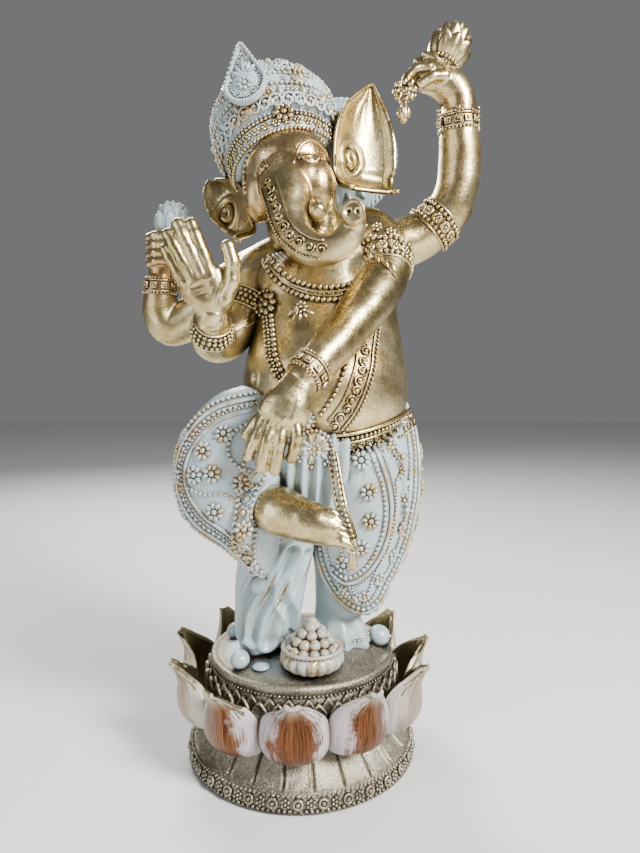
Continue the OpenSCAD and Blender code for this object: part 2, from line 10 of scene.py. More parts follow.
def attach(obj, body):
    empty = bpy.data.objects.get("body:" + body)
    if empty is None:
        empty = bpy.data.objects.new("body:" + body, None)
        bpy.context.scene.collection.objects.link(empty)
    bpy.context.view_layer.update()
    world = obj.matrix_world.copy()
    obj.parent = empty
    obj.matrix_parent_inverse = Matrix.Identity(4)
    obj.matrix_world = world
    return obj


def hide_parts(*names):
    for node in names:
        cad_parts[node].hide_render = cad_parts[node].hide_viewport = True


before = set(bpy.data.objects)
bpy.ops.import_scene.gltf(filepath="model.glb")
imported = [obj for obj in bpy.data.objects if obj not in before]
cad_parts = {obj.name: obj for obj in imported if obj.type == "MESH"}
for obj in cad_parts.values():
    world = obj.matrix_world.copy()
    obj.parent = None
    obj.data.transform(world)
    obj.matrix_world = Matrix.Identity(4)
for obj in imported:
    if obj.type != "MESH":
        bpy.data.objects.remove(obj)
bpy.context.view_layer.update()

# Shapes are worked out in millimetres and turned into metres at the end.
MM = 0.001
TAU = 2 * math.pi
chance = random.Random(11)
UP, ACROSS, FORWARD = Vector((0, 0, 1)), Vector((1, 0, 0)), Vector((0, -1, 0))


# ---------------------------------------------------------------- nodes for the finishes

def new_finish(name, colour, roughness, metallic=0.0):
    """A material, with its node tree and its main shader."""
    mat = bpy.data.materials.new(name)
    mat.use_nodes = True
    tree = mat.node_tree
    shader = tree.nodes["Principled BSDF"]
    shader.inputs["Base Color"].default_value = (*colour, 1)
    shader.inputs["Roughness"].default_value = roughness
    shader.inputs["Metallic"].default_value = metallic
    return mat, tree, shader


def add_node(tree, kind, values=None, links=None, **settings):
    """A node with its inputs set to values or wired to other nodes' outputs."""
    node = tree.nodes.new(kind)
    for key, value in settings.items():
        setattr(node, key, value)
    for key, value in (values or {}).items():
        node.inputs[key].default_value = value
    for key, source in (links or {}).items():
        tree.links.new(source, node.inputs[key])
    return node


def object_place(tree, stretch=(1, 1, 1)):
    """A place in metres on the piece, for a pattern to follow."""
    coords = add_node(tree, "ShaderNodeTexCoord")
    return add_node(tree, "ShaderNodeMapping", {"Scale": stretch},
                    {"Vector": coords.outputs["Object"]}).outputs["Vector"]


def grain(tree, place, scale, detail=4.0, rough=0.55):
    """A noise pattern, finer as the scale rises."""
    return add_node(tree, "ShaderNodeTexNoise", {"Scale": scale, "Detail": detail, "Roughness": rough},
                    {"Vector": place}).outputs["Fac"]


def ramp(tree, source, low, high):
    """A ramp from black at low to white at high."""
    node = add_node(tree, "ShaderNodeMapRange", {"From Min": low, "From Max": high}, {"Value": source})
    return node.outputs["Result"]


def blend_colour(tree, factor, first, second):
    node = add_node(tree, "ShaderNodeMix", data_type="RGBA")
    tree.links.new(factor, node.inputs["Factor"])
    for socket, value in ((node.inputs[6], first), (node.inputs[7], second)):
        if isinstance(value, tuple):
            socket.default_value = (*value, 1)
        else:
            tree.links.new(value, socket)
    return node.outputs[2]


def arith(tree, kind, first, second):
    node = add_node(tree, "ShaderNodeMath", operation=kind)
    for socket, value in ((node.inputs[0], first), (node.inputs[1], second)):
        if isinstance(value, (int, float)):
            socket.default_value = value
        else:
            tree.links.new(value, socket)
    return node.outputs[0]


def times(tree, first, second):
    return arith(tree, "MULTIPLY", first, second)


def plus(tree, first, second):
    return arith(tree, "ADD", first, second)


def most(tree, first, second):
    return arith(tree, "MAXIMUM", first, second)


def hollows(tree, reach):
    """White in hollows and crevices, black on open faces."""
    occlusion = add_node(tree, "ShaderNodeAmbientOcclusion", {"Distance": reach}, samples=8)
    return arith(tree, "SUBTRACT", 1.0, occlusion.outputs["AO"])


def set_bump(tree, shader, height, strength, distance):
    node = add_node(tree, "ShaderNodeBump", {"Strength": strength, "Distance": distance}, {"Height": height})
    tree.links.new(node.outputs["Normal"], shader.inputs["Normal"])


# ---------------------------------------------------------------- finishes

def antique_gold(name, pale, mid, wash, patchy=1.0):
    """Gold leaf paint: pale where it's rubbed, copper patches, brown antique wash in the fine crevices, and
    painted shade darkening the broader hollows.
    """
    mat, tree, shader = new_finish(name, mid, 0.3, 1.0)
    place = object_place(tree)
    leaf = grain(tree, place, 70, 6, 0.7)
    flecks = grain(tree, place, 1100, 3, 0.75)
    broad = grain(tree, place, 26, 2, 0.5)
    smoky = grain(tree, place, 42, 5, 0.7)
    body = blend_colour(tree, ramp(tree, leaf, 0.40, 0.62), mid, pale)
    smoke = times(tree, ramp(tree, smoky, 0.50, 0.72), 0.5 * patchy)
    body = blend_colour(tree, smoke, body, (0.20, 0.14, 0.065))
    copper = times(tree, ramp(tree, broad, 0.57, 0.72), 0.5 * patchy)
    body = blend_colour(tree, copper, body, (0.52, 0.23, 0.10))
    specks = times(tree, ramp(tree, flecks, 0.60, 0.70), 0.55)
    body = blend_colour(tree, specks, body, wash)
    # Brown antique wash sits in the fine crevices (deep); the broader hollows (wide) are darkened as painted
    # shade.
    deep = ramp(tree, hollows(tree, 0.003), 0.18, 0.70)
    wide = ramp(tree, hollows(tree, 0.012), 0.42, 0.95)
    cave = most(tree, deep, times(tree, wide, 0.75))
    crevice_wash_and_shade = times(tree, cave, ramp(tree, flecks, 0.15, 0.5))
    body = blend_colour(tree, crevice_wash_and_shade, body, wash)
    tree.links.new(body, shader.inputs["Base Color"])
    polish = plus(tree, times(tree, flecks, 0.26), times(tree, leaf, 0.16))
    dull = times(tree, most(tree, cave, smoke), 0.3)
    tree.links.new(plus(tree, plus(tree, polish, dull), 0.06), shader.inputs["Roughness"])
    height = plus(tree, leaf, times(tree, flecks, 0.22))
    set_bump(tree, shader, height, 0.75, 0.0004)
    return mat


def pearl_white(name, base, shade, gilt=0.35, bare=0.50):
    """Pearly blue-white paint with grey shade in the hollows and gold rubbed on here and there."""
    mat, tree, shader = new_finish(name, base, 0.38, 0.12)
    shader.inputs["Coat Weight"].default_value = 0.3
    shader.inputs["Coat Roughness"].default_value = 0.25
    place = object_place(tree)
    cloud = grain(tree, place, 60, 5, 0.6)
    flecks = grain(tree, place, 800, 3, 0.7)
    rub = grain(tree, place, 150, 5, 0.75)
    body = blend_colour(tree, ramp(tree, cloud, 0.35, 0.7), base, tuple(c * 0.78 for c in base))
    deep = ramp(tree, hollows(tree, 0.003), 0.20, 0.72)
    wide = ramp(tree, hollows(tree, 0.012), 0.5, 1.0)
    cave = most(tree, deep, times(tree, wide, 0.6))
    body = blend_colour(tree, times(tree, cave, 0.9), body, shade)
    gold_rub = times(tree, ramp(tree, rub, bare, bare + 0.16), gilt)
    body = blend_colour(tree, gold_rub, body, (0.52, 0.37, 0.17))
    tree.links.new(body, shader.inputs["Base Color"])
    tree.links.new(times(tree, gold_rub, 0.8), shader.inputs["Metallic"])
    tree.links.new(plus(tree, times(tree, flecks, 0.3), 0.22), shader.inputs["Roughness"])
    height = plus(tree, cloud, times(tree, flecks, 0.25))
    set_bump(tree, shader, height, 0.5, 0.0003)
    return mat


def glitter_champagne():
    """Fine metallic glitter paint over the pedestal."""
    mat, tree, shader = new_finish("glitter_champagne", (0.33, 0.31, 0.25), 0.4, 0.85)
    place = object_place(tree)
    sparkle = add_node(tree, "ShaderNodeTexVoronoi", {"Scale": 3600}, {"Vector": place})
    tone = grain(tree, place, 45, 5, 0.6)
    body = blend_colour(tree, ramp(tree, tone, 0.35, 0.65), (0.18, 0.155, 0.11), (0.34, 0.31, 0.235))
    glint = arith(tree, "POWER", sparkle.outputs["Color"], 5.0)
    body = blend_colour(tree, glint, body, (0.85, 0.80, 0.66))
    where = add_node(tree, "ShaderNodeSeparateXYZ", links={"Vector": place})
    dome = times(tree, ramp(tree, where.outputs["Z"], 0.0352, 0.0362),
                 ramp(tree, where.outputs["X"], 0.016, -0.012))
    wash = times(tree, dome, ramp(tree, tone, 0.3, 0.5))
    body = blend_colour(tree, times(tree, wash, 0.8), body, (0.36, 0.42, 0.46))
    # Painted shade: the crevices are darkened almost to black where shade falls.
    cave = ramp(tree, hollows(tree, 0.003), 0.15, 0.6)
    body = blend_colour(tree, cave, body, (0.055, 0.043, 0.028))
    tree.links.new(body, shader.inputs["Base Color"])
    tree.links.new(ramp(tree, sparkle.outputs["Color"], -0.3, 1.6), shader.inputs["Roughness"])
    height = plus(tree, sparkle.outputs["Distance"], times(tree, tone, 1.5))
    set_bump(tree, shader, height, 0.35, 0.0003)
    return mat


# What is added to petal_lines' third number on a petal's inner side, so that the finish can tell
# it from the outer side, where that number stays below a hundred.
INNER_MARK = 200


def petal_pearl():
    """Pinkish pearl with copper brushed along each petal's own lines, gold on the sides and within."""
    mat, tree, shader = new_finish("petal_pearl", (0.62, 0.50, 0.47), 0.34, 0.3)
    lines = add_node(tree, "ShaderNodeAttribute", attribute_name="petal_lines")
    across = add_node(tree, "ShaderNodeSeparateXYZ", links={"Vector": lines.outputs["Vector"]})
    streaks = add_node(tree, "ShaderNodeMapping", {"Scale": (26, 1.6, 1)},
                       {"Vector": lines.outputs["Vector"]})
    fibre = grain(tree, streaks.outputs["Vector"], 1.6, 5, 0.7)
    place = object_place(tree)
    where = add_node(tree, "ShaderNodeSeparateXYZ", links={"Vector": place})
    flecks = grain(tree, place, 900, 3, 0.7)
    blots = grain(tree, place, 120, 4, 0.7)
    middle = arith(tree, "ABSOLUTE", across.outputs["X"], 0)
    beside = ramp(tree, arith(tree, "ABSOLUTE", where.outputs["X"], 0), 0.022, 0.036)
    inside = ramp(tree, across.outputs["Z"], INNER_MARK / 2, INNER_MARK / 2 + 1)
    reach = arith(tree, "SUBTRACT", plus(tree, fibre, blots), middle)
    copper = times(tree, ramp(tree, reach, 0.46, 0.62), ramp(tree, across.outputs["Y"], 1.05, 0.8))
    copper = times(tree, copper, arith(tree, "SUBTRACT", 1.0, times(tree, beside, 0.55)))
    body = blend_colour(tree, ramp(tree, fibre, 0.3, 0.75), (0.40, 0.35, 0.38), (0.58, 0.53, 0.54))
    body = blend_colour(tree, times(tree, beside, 0.75), body, (0.50, 0.45, 0.34))
    foil = blend_colour(tree, ramp(tree, fibre, 0.40, 0.68), (0.07, 0.024, 0.010), (0.31, 0.13, 0.058))
    body = blend_colour(tree, copper, body, foil)
    pale = ramp(tree, across.outputs["Y"], 0.72, 1.0)
    body = blend_colour(tree, times(tree, pale, 0.7), body, (0.56, 0.48, 0.33))
    body = blend_colour(tree, times(tree, inside, 0.85), body, (0.25, 0.21, 0.10))
    # Painted shade: the hollows are darkened to dark brown where shade falls.
    cave = ramp(tree, hollows(tree, 0.004), 0.25, 0.75)
    body = blend_colour(tree, cave, body, (0.13, 0.08, 0.05))
    tree.links.new(body, shader.inputs["Base Color"])
    metal = most(tree, copper, most(tree, inside, times(tree, beside, 0.6)))
    tree.links.new(times(tree, metal, 0.95), shader.inputs["Metallic"])
    tree.links.new(plus(tree, times(tree, fibre, 0.25), 0.2), shader.inputs["Roughness"])
    height = plus(tree, fibre, times(tree, flecks, 0.15))
    set_bump(tree, shader, height, 0.7, 0.0005)
    return mat


def soft_felt():
    mat, tree, shader = new_finish("soft_felt", (0.05, 0.09, 0.06), 0.9)
    place = object_place(tree)
    fluff = grain(tree, place, 1500, 5, 0.8)
    tree.links.new(blend_colour(tree, fluff, (0.03, 0.06, 0.04), (0.08, 0.13, 0.09)),
                   shader.inputs["Base Color"])
    set_bump(tree, shader, fluff, 0.8, 0.0004)
    return mat


def plain_steel():
    mat, tree, shader = new_finish("plain_steel", (0.55, 0.55, 0.57), 0.35, 1.0)
    place = object_place(tree, (1, 1, 0.05))
    drawn = grain(tree, place, 3000, 3, 0.6)
    tree.links.new(ramp(tree, drawn, -0.6, 1.9), shader.inputs["Roughness"])
    set_bump(tree, shader, drawn, 0.3, 0.0001)
    return mat


gold = antique_gold("antique_gold", (0.78, 0.65, 0.37), (0.44, 0.34, 0.145), (0.040, 0.020, 0.008))
jewel_gold = antique_gold("jewel_gold", (0.80, 0.68, 0.42), (0.48, 0.38, 0.18), (0.045, 0.024, 0.010), 0.5)
white = pearl_white("pearl_white", (0.43, 0.54, 0.585), (0.09, 0.105, 0.115), 0.3)
white_relief = pearl_white("gilded_white", (0.52, 0.62, 0.65), (0.09, 0.07, 0.04), 0.9, 0.44)
champagne = glitter_champagne()
offering = pearl_white("offering_pearl", (0.46, 0.45, 0.40), (0.12, 0.08, 0.05), 0.9)
petal_finish = petal_pearl()
felt = soft_felt()
steel = plain_steel()


# ---------------------------------------------------------------- making and finishing a piece

def finish_piece(name, bm, finish, stands_for=(), levels=0):
    """Turns a shape in millimetres into a named piece in metres that rides on the figure."""
    bmesh.ops.recalc_face_normals(bm, faces=bm.faces)
    bmesh.ops.scale(bm, vec=(MM, MM, MM), verts=bm.verts)
    mesh = bpy.data.meshes.new(name)
    bm.to_mesh(mesh)
    bm.free()
    mesh.materials.append(finish)
    mesh.shade_smooth()
    obj = bpy.data.objects.new(name, mesh)
    bpy.context.scene.collection.objects.link(obj)
    if levels:
        round_off = obj.modifiers.new("round_off", "SUBSURF")
        round_off.levels = round_off.render_levels = levels
    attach(obj, "root")
    if stands_for:
        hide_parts(*stands_for)


def around(count, start=0.0):
    """Angles evenly round the Z axis, each with the direction outwards."""
    for i in range(count):
        a = start + TAU * i / count
        yield a, Vector((math.cos(a), math.sin(a), 0))


def curve_through(points, steps):
    """Points on a smooth curve through the given ones, which may hold any count of numbers."""
    out = []
    n = len(points)
    for k in range(n - 1):
        a, b, c, d = (points[max(k - 1, 0)], points[k], points[k + 1], points[min(k + 2, n - 1)])
        for j in range(steps):
            t = j / steps
            out.append([0.5 * (2 * q + (r - p) * t + (2 * p - 5 * q + 4 * r - s) * t * t
                               + (3 * q - p - 3 * r + s) * t * t * t) for p, q, r, s in zip(a, b, c, d)])
    out.append(list(points[-1]))
    return out


def ring_matrix(p, d, side, ra, rb):
    """Sets a flat ring at p, facing along d, with radius ra along side and rb across it."""
    w = d.cross(side).normalized()
    u = w.cross(d).normalized()
    m = Matrix.Identity(4)
    for i in range(3):
        m[i][0], m[i][1], m[i][2], m[i][3] = u[i] * ra, w[i] * rb, d[i], p[i]
    return m


def extrude(bm, edges):
    """Draws new edges out of the given ones, and gives them back with their points."""
    grown = bmesh.ops.extrude_edge_only(bm, edges=edges)["geom"]
    verts = [g for g in grown if isinstance(g, bmesh.types.BMVert)]
    ends = set(verts)
    return [g for g in grown if isinstance(g, bmesh.types.BMEdge) and set(g.verts) <= ends], verts


def sweep(bm, frames, sides, capped=True):
    """A skin drawn through a chain of rings, each set by its matrix."""
    ring = bmesh.ops.create_circle(bm, cap_ends=capped, segments=sides, radius=1, matrix=frames[0])
    edges = list({e for v in ring["verts"] for e in v.link_edges})
    for before, after in zip(frames, frames[1:]):
        edges, verts = extrude(bm, edges)
        bmesh.ops.transform(bm, matrix=after @ before.inverted(), verts=verts)
    if capped:
        bmesh.ops.contextual_create(bm, geom=edges)


def add_limb(bm, stations, sides=20, steps=4, side=(0, 1, 0), blunt=0.8):
    """A ring drawn from station to station, with both ends rounded over. A station is
    (x, y, z, radius) or (x, y, z, radius, second radius)."""
    path = curve_through([(*s, s[3]) if len(s) == 4 else s for s in stations], steps)
    points = [Vector(p[:3]) for p in path]
    rings = []
    for i, (*_, ra, rb) in enumerate(path):
        d = (points[min(i + 1, len(path) - 1)] - points[max(i - 1, 0)]).normalized()
        rings.append((points[i], d, ra, rb))

    def rounded(ring, way, turns):
        p, d, ra, rb = ring
        return [(p + d * min(ra, rb) * blunt * math.sin(t) * way, d, ra * math.cos(t), rb * math.cos(t))
                for t in turns]

    rings = rounded(rings[0], -1, (1.4, 1.05, 0.6)) + rings + rounded(rings[-1], 1, (0.6, 1.05, 1.4))
    sweep(bm, [ring_matrix(p, d, Vector(side), ra, rb) for p, d, ra, rb in rings], sides)


def add_egg(bm, centre, radii, lean=0.0, u=20, v=14):
    """A ball stretched to its three radii, leaning to one side by an angle."""
    m = Matrix.Translation(centre) @ Matrix.Rotation(lean, 4, "Y") @ Matrix.Diagonal((*radii, 1))
    bmesh.ops.create_uvsphere(bm, u_segments=u, v_segments=v, radius=1, matrix=m)


def apply_modifiers(bm, settings):
    """Runs modifiers on a shape and gives the result back as a new one."""
    mesh = bpy.data.meshes.new("working")
    bm.to_mesh(mesh)
    bm.free()
    obj = bpy.data.objects.new("working", mesh)
    bpy.context.scene.collection.objects.link(obj)
    for kind, values in settings:
        mod = obj.modifiers.new(kind, kind)
        for key, value in values.items():
            setattr(mod, key, value)
    done = obj.evaluated_get(bpy.context.evaluated_depsgraph_get())
    out = bmesh.new()
    out.from_mesh(done.to_mesh())
    done.to_mesh_clear()
    bpy.data.objects.remove(obj)
    bpy.data.meshes.remove(mesh)
    out.normal_update()
    return out


def knead(bm, voxel, rounds=6, factor=0.5):
    """Melts overlapping lumps into one closed skin and smooths it."""
    bmesh.ops.triangulate(bm, faces=[f for f in bm.faces if len(f.verts) > 4])
    return apply_modifiers(bm, [
        ("REMESH", {"mode": "VOXEL", "voxel_size": voxel, "adaptivity": 0.0}),
        ("SMOOTH", {"iterations": rounds, "factor": factor})])


def push(bm, height_at):
    """Moves each point along its normal by height_at(place, normal)."""
    bm.normal_update()
    moves = [(v, v.normal * height_at(v.co, v.normal)) for v in bm.verts]
    for v, move in moves:
        v.co += move
    bm.normal_update()


def bell(distance, width):
    """1 at 0, falling smoothly to 0 at width."""
    t = min(abs(distance) / width, 1.0)
    return (1 - t * t) ** 2


def line_finder(points):
    """A lookup that gives a place's distance to a smooth line through the points."""
    path = [Vector(p) for p in curve_through(points, 12)]
    tree = kdtree.KDTree(len(path))
    for i, p in enumerate(path):
        tree.insert(p, i)
    tree.balance()
    return lambda co: tree.find(co)[2]


class Skin:
    """A finished surface that ornaments are laid on. Each lookup gives a place and its normal."""

    def __init__(self, bm):
        self.tree = BVHTree.FromBMesh(bm)

    def near(self, p):
        return self.tree.find_nearest(Vector(p))[:2]

    def met(self, start, way, otherwise):
        """Where a ray meets the surface, or the nearest place to another point if it misses."""
        hit = self.tree.ray_cast(Vector(start), Vector(way))
        return self.near(otherwise) if hit[0] is None else hit[:2]

    def front(self, x, z):
        return self.met((x, -120, z), (0, 1, 0), (x, -40, z))

    def back(self, x, z):
        return self.met((x, 80, z), (0, -1, 0), (x, 20, z))

    def out(self, centre, direction):
        """The surface met from outside when looking back at the centre."""
        direction = Vector(direction).normalized()
        return self.met(Vector(centre) + direction * 60, -direction, centre)


def spaced(places, gap, closed=False):
    """Places evenly spaced along a chain of (point, normal), with the direction of travel."""
    if closed:
        places = places + [places[0]]
    length = [0.0]
    for (a, _), (b, _) in zip(places, places[1:]):
        length.append(length[-1] + (b - a).length)
    total = length[-1]
    count = max(2, round(total / gap))
    out = []
    k = 0
    for i in range(count if closed else count + 1):
        want = total * i / count
        while k < len(length) - 2 and length[k + 1] < want:
            k += 1
        span = max(length[k + 1] - length[k], 1e-6)
        t = (want - length[k]) / span
        (a, na), (b, nb) = places[k], places[k + 1]
        out.append((a.lerp(b, t), na.lerp(nb, t).normalized(), (b - a).normalized()))
    return out


def sink_ends(places, depth):
    """The same places, with the first and last sunk into the surface."""
    (a, na, da), *middle, (b, nb, db) = places
    return [(a - na * depth, na, da), *middle, (b - nb * depth, nb, db)]


def over_front(skin, points):
    """A smooth line through (x, z) points, laid on the skin as seen from the front."""
    return [skin.front(x, z) for x, z in curve_through(points, 8)]


def shifted(points, away):
    """The line of (x, z) points moved to its right by so many millimetres."""
    out = []
    for i, (x, z) in enumerate(points):
        a, b = points[max(i - 1, 0)], points[min(i + 1, len(points) - 1)]
        dx, dz = b[0] - a[0], b[1] - a[1]
        length = math.hypot(dx, dz)
        out.append((x + dz / length * away, z - dx / length * away))
    return out


def beside(skin, points):
    """A function that lays the line on the skin's front, moved to its right by what it's given."""
    return lambda away: over_front(skin, shifted(points, away))


def round_limb(skin, centre, axis, shift=0.0):
    """A closed line round a limb, square to its axis and moved along it by shift."""
    axis = Vector(axis).normalized()
    side = axis.orthogonal().normalized()
    other = axis.cross(side)
    centre = Vector(centre) + axis * shift
    ways = [side * d.x + other * d.y for _, d in around(64)]
    return [(skin.met(centre, d, centre + d * 8)[0], d) for d in ways]


# ---------------------------------------------------------------- small ornaments

class Stamps:
    """Collects small ornaments, each a copy of a template set on a surface."""

    def __init__(self):
        self.bm = bmesh.new()

    def press(self, template, place, normal, along, size=1.0, lift=0.0, turn=0.0):
        """Sets the template at place with its z along normal and its x along the line."""
        normal = normal.normalized()
        x = (along - normal * along.dot(normal))
        x = x.normalized() if x.length > 1e-5 else normal.orthogonal().normalized()
        y = normal.cross(x)
        m = Matrix.Identity(4)
        for i in range(3):
            m[i][0], m[i][1], m[i][2], m[i][3] = x[i], y[i], normal[i], place[i] + normal[i] * lift
        size = size if isinstance(size, tuple) else (size, size, size)
        m = m @ Matrix.Rotation(turn, 4, "Z") @ Matrix.Diagonal((*size, 1))
        template.transform(m)
        self.bm.from_mesh(template)
        template.transform(m.inverted())

    def row(self, template, places, size=1.0, lift=0.0, turn=0.0, vary=0.0):
        for p, n, d in places:
            grow = 1 + chance.uniform(-vary, vary)
            scale = tuple(s * grow for s in size) if isinstance(size, tuple) else size * grow
            self.press(template, p, n, d, scale, lift, turn)

    def cord(self, places, radius, sides=6, lift=0.0, closed=False):
        """A raised line of round section through the places."""
        frames = []
        pts = [p + n * lift for p, n, _ in places]
        if closed:
            pts = pts + pts[:1]
        for i, p in enumerate(pts):
            d = pts[min(i + 1, len(pts) - 1)] - pts[max(i - 1, 0)]
            if closed and i in (0, len(pts) - 1):
                d = pts[1] - pts[-2]
            frames.append(ring_matrix(p, d.normalized(), places[min(i, len(places) - 1)][1], radius, radius))
        sweep(self.bm, frames, sides, not closed)

    def rows(self, line_at, rows, closed=False):
        """Rows beside one another: (shift, template, gap, size, lift, turn), where the turn may be
        left out, and None for the template makes a cord."""
        for shift, template, gap, size, lift, *turn in rows:
            places = spaced(line_at(shift), gap, closed)
            if template is None:
                self.cord(places, size, 6, lift, closed)
            else:
                self.row(template, places, size, lift, *turn)

    def wreath(self, template, count, radius, height, size, lift=0.0, start=0.0, centre=Vector()):
        """A level ring of ornaments round an upright line, facing outwards."""
        for _, out in around(count, start):
            self.press(template, centre + out * radius + UP * height, out, UP, size, lift)

    def circle(self, template, count, centre, radius, out, way, size):
        """A ring of ornaments in the plane that faces the front."""
        for _, d in around(count):
            self.press(template, centre + Vector((d.x, 0, d.y)) * radius, out, way, size)


def as_template(bm, name):
    """A finished shape as a mesh that can be stamped many times."""
    bmesh.ops.recalc_face_normals(bm, faces=bm.faces)
    mesh = bpy.data.meshes.new(name)
    bm.to_mesh(mesh)
    bm.free()
    return mesh


def bead_template(u=8, v=5):
    bm = bmesh.new()
    bmesh.ops.create_uvsphere(bm, u_segments=u, v_segments=v, radius=1)
    return as_template(bm, "bead")


def ring_template(thick=0.3, turns=12, sides=5):
    bm = bmesh.new()
    ring = bmesh.ops.create_circle(bm, segments=sides, radius=thick, matrix=(
        Matrix.Translation((1 - thick, 0, 0)) @ Matrix.Rotation(math.pi / 2, 4, "X")))
    edges = list({e for v in ring["verts"] for e in v.link_edges})
    bmesh.ops.spin(bm, geom=ring["verts"] + edges, cent=(0, 0, 0), axis=(0, 0, 1), dvec=(0, 0, 0),
                   angle=TAU, steps=turns, use_merge=True, use_duplicate=False)
    bmesh.ops.remove_doubles(bm, verts=bm.verts, dist=1e-4)
    bmesh.ops.recalc_face_normals(bm, faces=bm.faces)
    return as_template(bm, "ring")


def flower_template(count=8, reach=0.66):
    """A round middle with a ring of petals at the given reach from it."""
    bm = bmesh.new()
    bmesh.ops.create_uvsphere(bm, u_segments=8, v_segments=5, radius=0.3,
                              matrix=Matrix.Translation((0, 0, 0.12)) @ Matrix.Diagonal((1, 1, 0.8, 1)))
    for a, _ in around(count):
        m = (Matrix.Rotation(a, 4, "Z") @ Matrix.Translation((reach, 0, 0.02))
             @ Matrix.Diagonal((0.36, 0.74 / count * 2.9, 0.26, 1)))
        bmesh.ops.create_uvsphere(bm, u_segments=6, v_segments=4, radius=1, matrix=m)
    return as_template(bm, "flower")


def curl_template(hand=1, winds=1.35, thick=0.17, sides=5, steps=13):
    """A scroll: a round strand wound inwards to a bead, with its open end at x = 1."""
    strand = Stamps()
    places = []
    for i in range(steps + 1):
        t = i / steps
        a = TAU * winds * t * hand
        r = 1 - 0.72 * t
        places.append((Vector((r * math.cos(a) * 0.9, r * math.sin(a), 0)), UP, None))
    strand.cord(places, thick, sides)
    bmesh.ops.create_uvsphere(strand.bm, u_segments=6, v_segments=4, radius=thick * 1.7,
                              matrix=Matrix.Translation(places[-1][0]))
    return as_template(strand.bm, "curl")


def stud_template():
    bm = bmesh.new()
    bmesh.ops.create_cube(bm, size=1.7, matrix=Matrix.Diagonal((1, 1, 0.45, 1)))
    bmesh.ops.bevel(bm, geom=bm.edges[:], affect="EDGES", offset=0.22, segments=2, profile=0.5, material=-1)
    top = [f for f in bm.faces if f.normal.z > 0.9 and f.calc_area() > 0.5]
    bmesh.ops.inset_individual(bm, faces=top, thickness=0.22, depth=-0.2)
    bmesh.ops.create_uvsphere(bm, u_segments=8, v_segments=5, radius=0.42,
                              matrix=Matrix.Translation((0, 0, 0.3)))
    return as_template(bm, "stud")


def leaf_template(ridge=0.5):
    """A pointed leaf with a ridge, lying along x from base to tip."""
    bm = bmesh.new()
    bmesh.ops.create_uvsphere(bm, u_segments=8, v_segments=6, radius=1)
    for v in bm.verts:
        t = v.co.x
        v.co.y *= 0.62 * (1 - 0.55 * max(t, 0))
        v.co.z = v.co.z * 0.3 + (ridge * (1 - abs(t)) * bell(v.co.y, 0.35) if v.co.z > 0 else 0)
    return as_template(bm, "leaf")


def lancet_template():
    """A pointed arch along x from its foot to its tip: a raised rim round a hollow with a ridge."""
    half = [(0, 0.5), (0.3, 0.52), (0.6, 0.4), (0.82, 0.2)]
    outline = half + [(1, 0)] + [(x, -y) for x, y in reversed(half)]
    middle = Vector((0.38, 0, 0))
    bm = bmesh.new()
    loop = bmesh.ops.create_circle(bm, cap_ends=True, segments=len(outline), radius=1)
    for v, (x, y) in zip(loop["verts"], outline):
        v.co = Vector((x, y, -0.3))
    edges = bm.edges[:]
    before = 1.0
    for grow, height in ((0.98, 0.34), (0.86, 0.44), (0.72, 0.34), (0.6, 0.04)):
        edges, verts = extrude(bm, edges)
        for v in verts:
            v.co = middle + (v.co - middle) * (grow / before)
            v.co.z = height
        before = grow
    cap = bmesh.ops.contextual_create(bm, geom=edges)
    for v in bmesh.ops.poke(bm, faces=cap["faces"])["verts"]:
        v.co.z = 0.42
    return as_template(bm, "lancet")


bead = bead_template()
fine_bead = bead_template(6, 4)
big_bead = bead_template(16, 10)
ring = ring_template()
flower = flower_template()
six_flower = flower_template(6, 0.62)
curl, curl_back = curl_template(), curl_template(-1)
stud = stud_template()
leaf = leaf_template()
lancet = lancet_template()


# ---------------------------------------------------------------- pedestal

DRUM_TOP, DOME_RADIUS, DOME_RISE = 34.5, 30.2, 5.0
RIB_COUNT = 24
PETAL_COUNT, PETAL_START = 11, math.radians(268)


def turned(profile, turns, steps):
    """A shape turned on the Z axis from a smooth line through (radius, height) points."""
    bm = bmesh.new()
    verts = [bm.verts.new((r, 0, z)) for r, z in curve_through(profile, steps)]
    edges = [bm.edges.new(pair) for pair in zip(verts, verts[1:])]
    bmesh.ops.spin(bm, geom=verts + edges, cent=(0, 0, 0), axis=UP, dvec=(0, 0, 0), angle=TAU,
                   steps=turns, use_merge=True, use_duplicate=False)
    bmesh.ops.remove_doubles(bm, verts=bm.verts, dist=0.0005)
    bmesh.ops.recalc_face_normals(bm, faces=bm.faces)
    return bm


RIB_LOW, RIB_HIGH = 6.2, 17
RIM_MIDDLE = (38.4, 3.5)


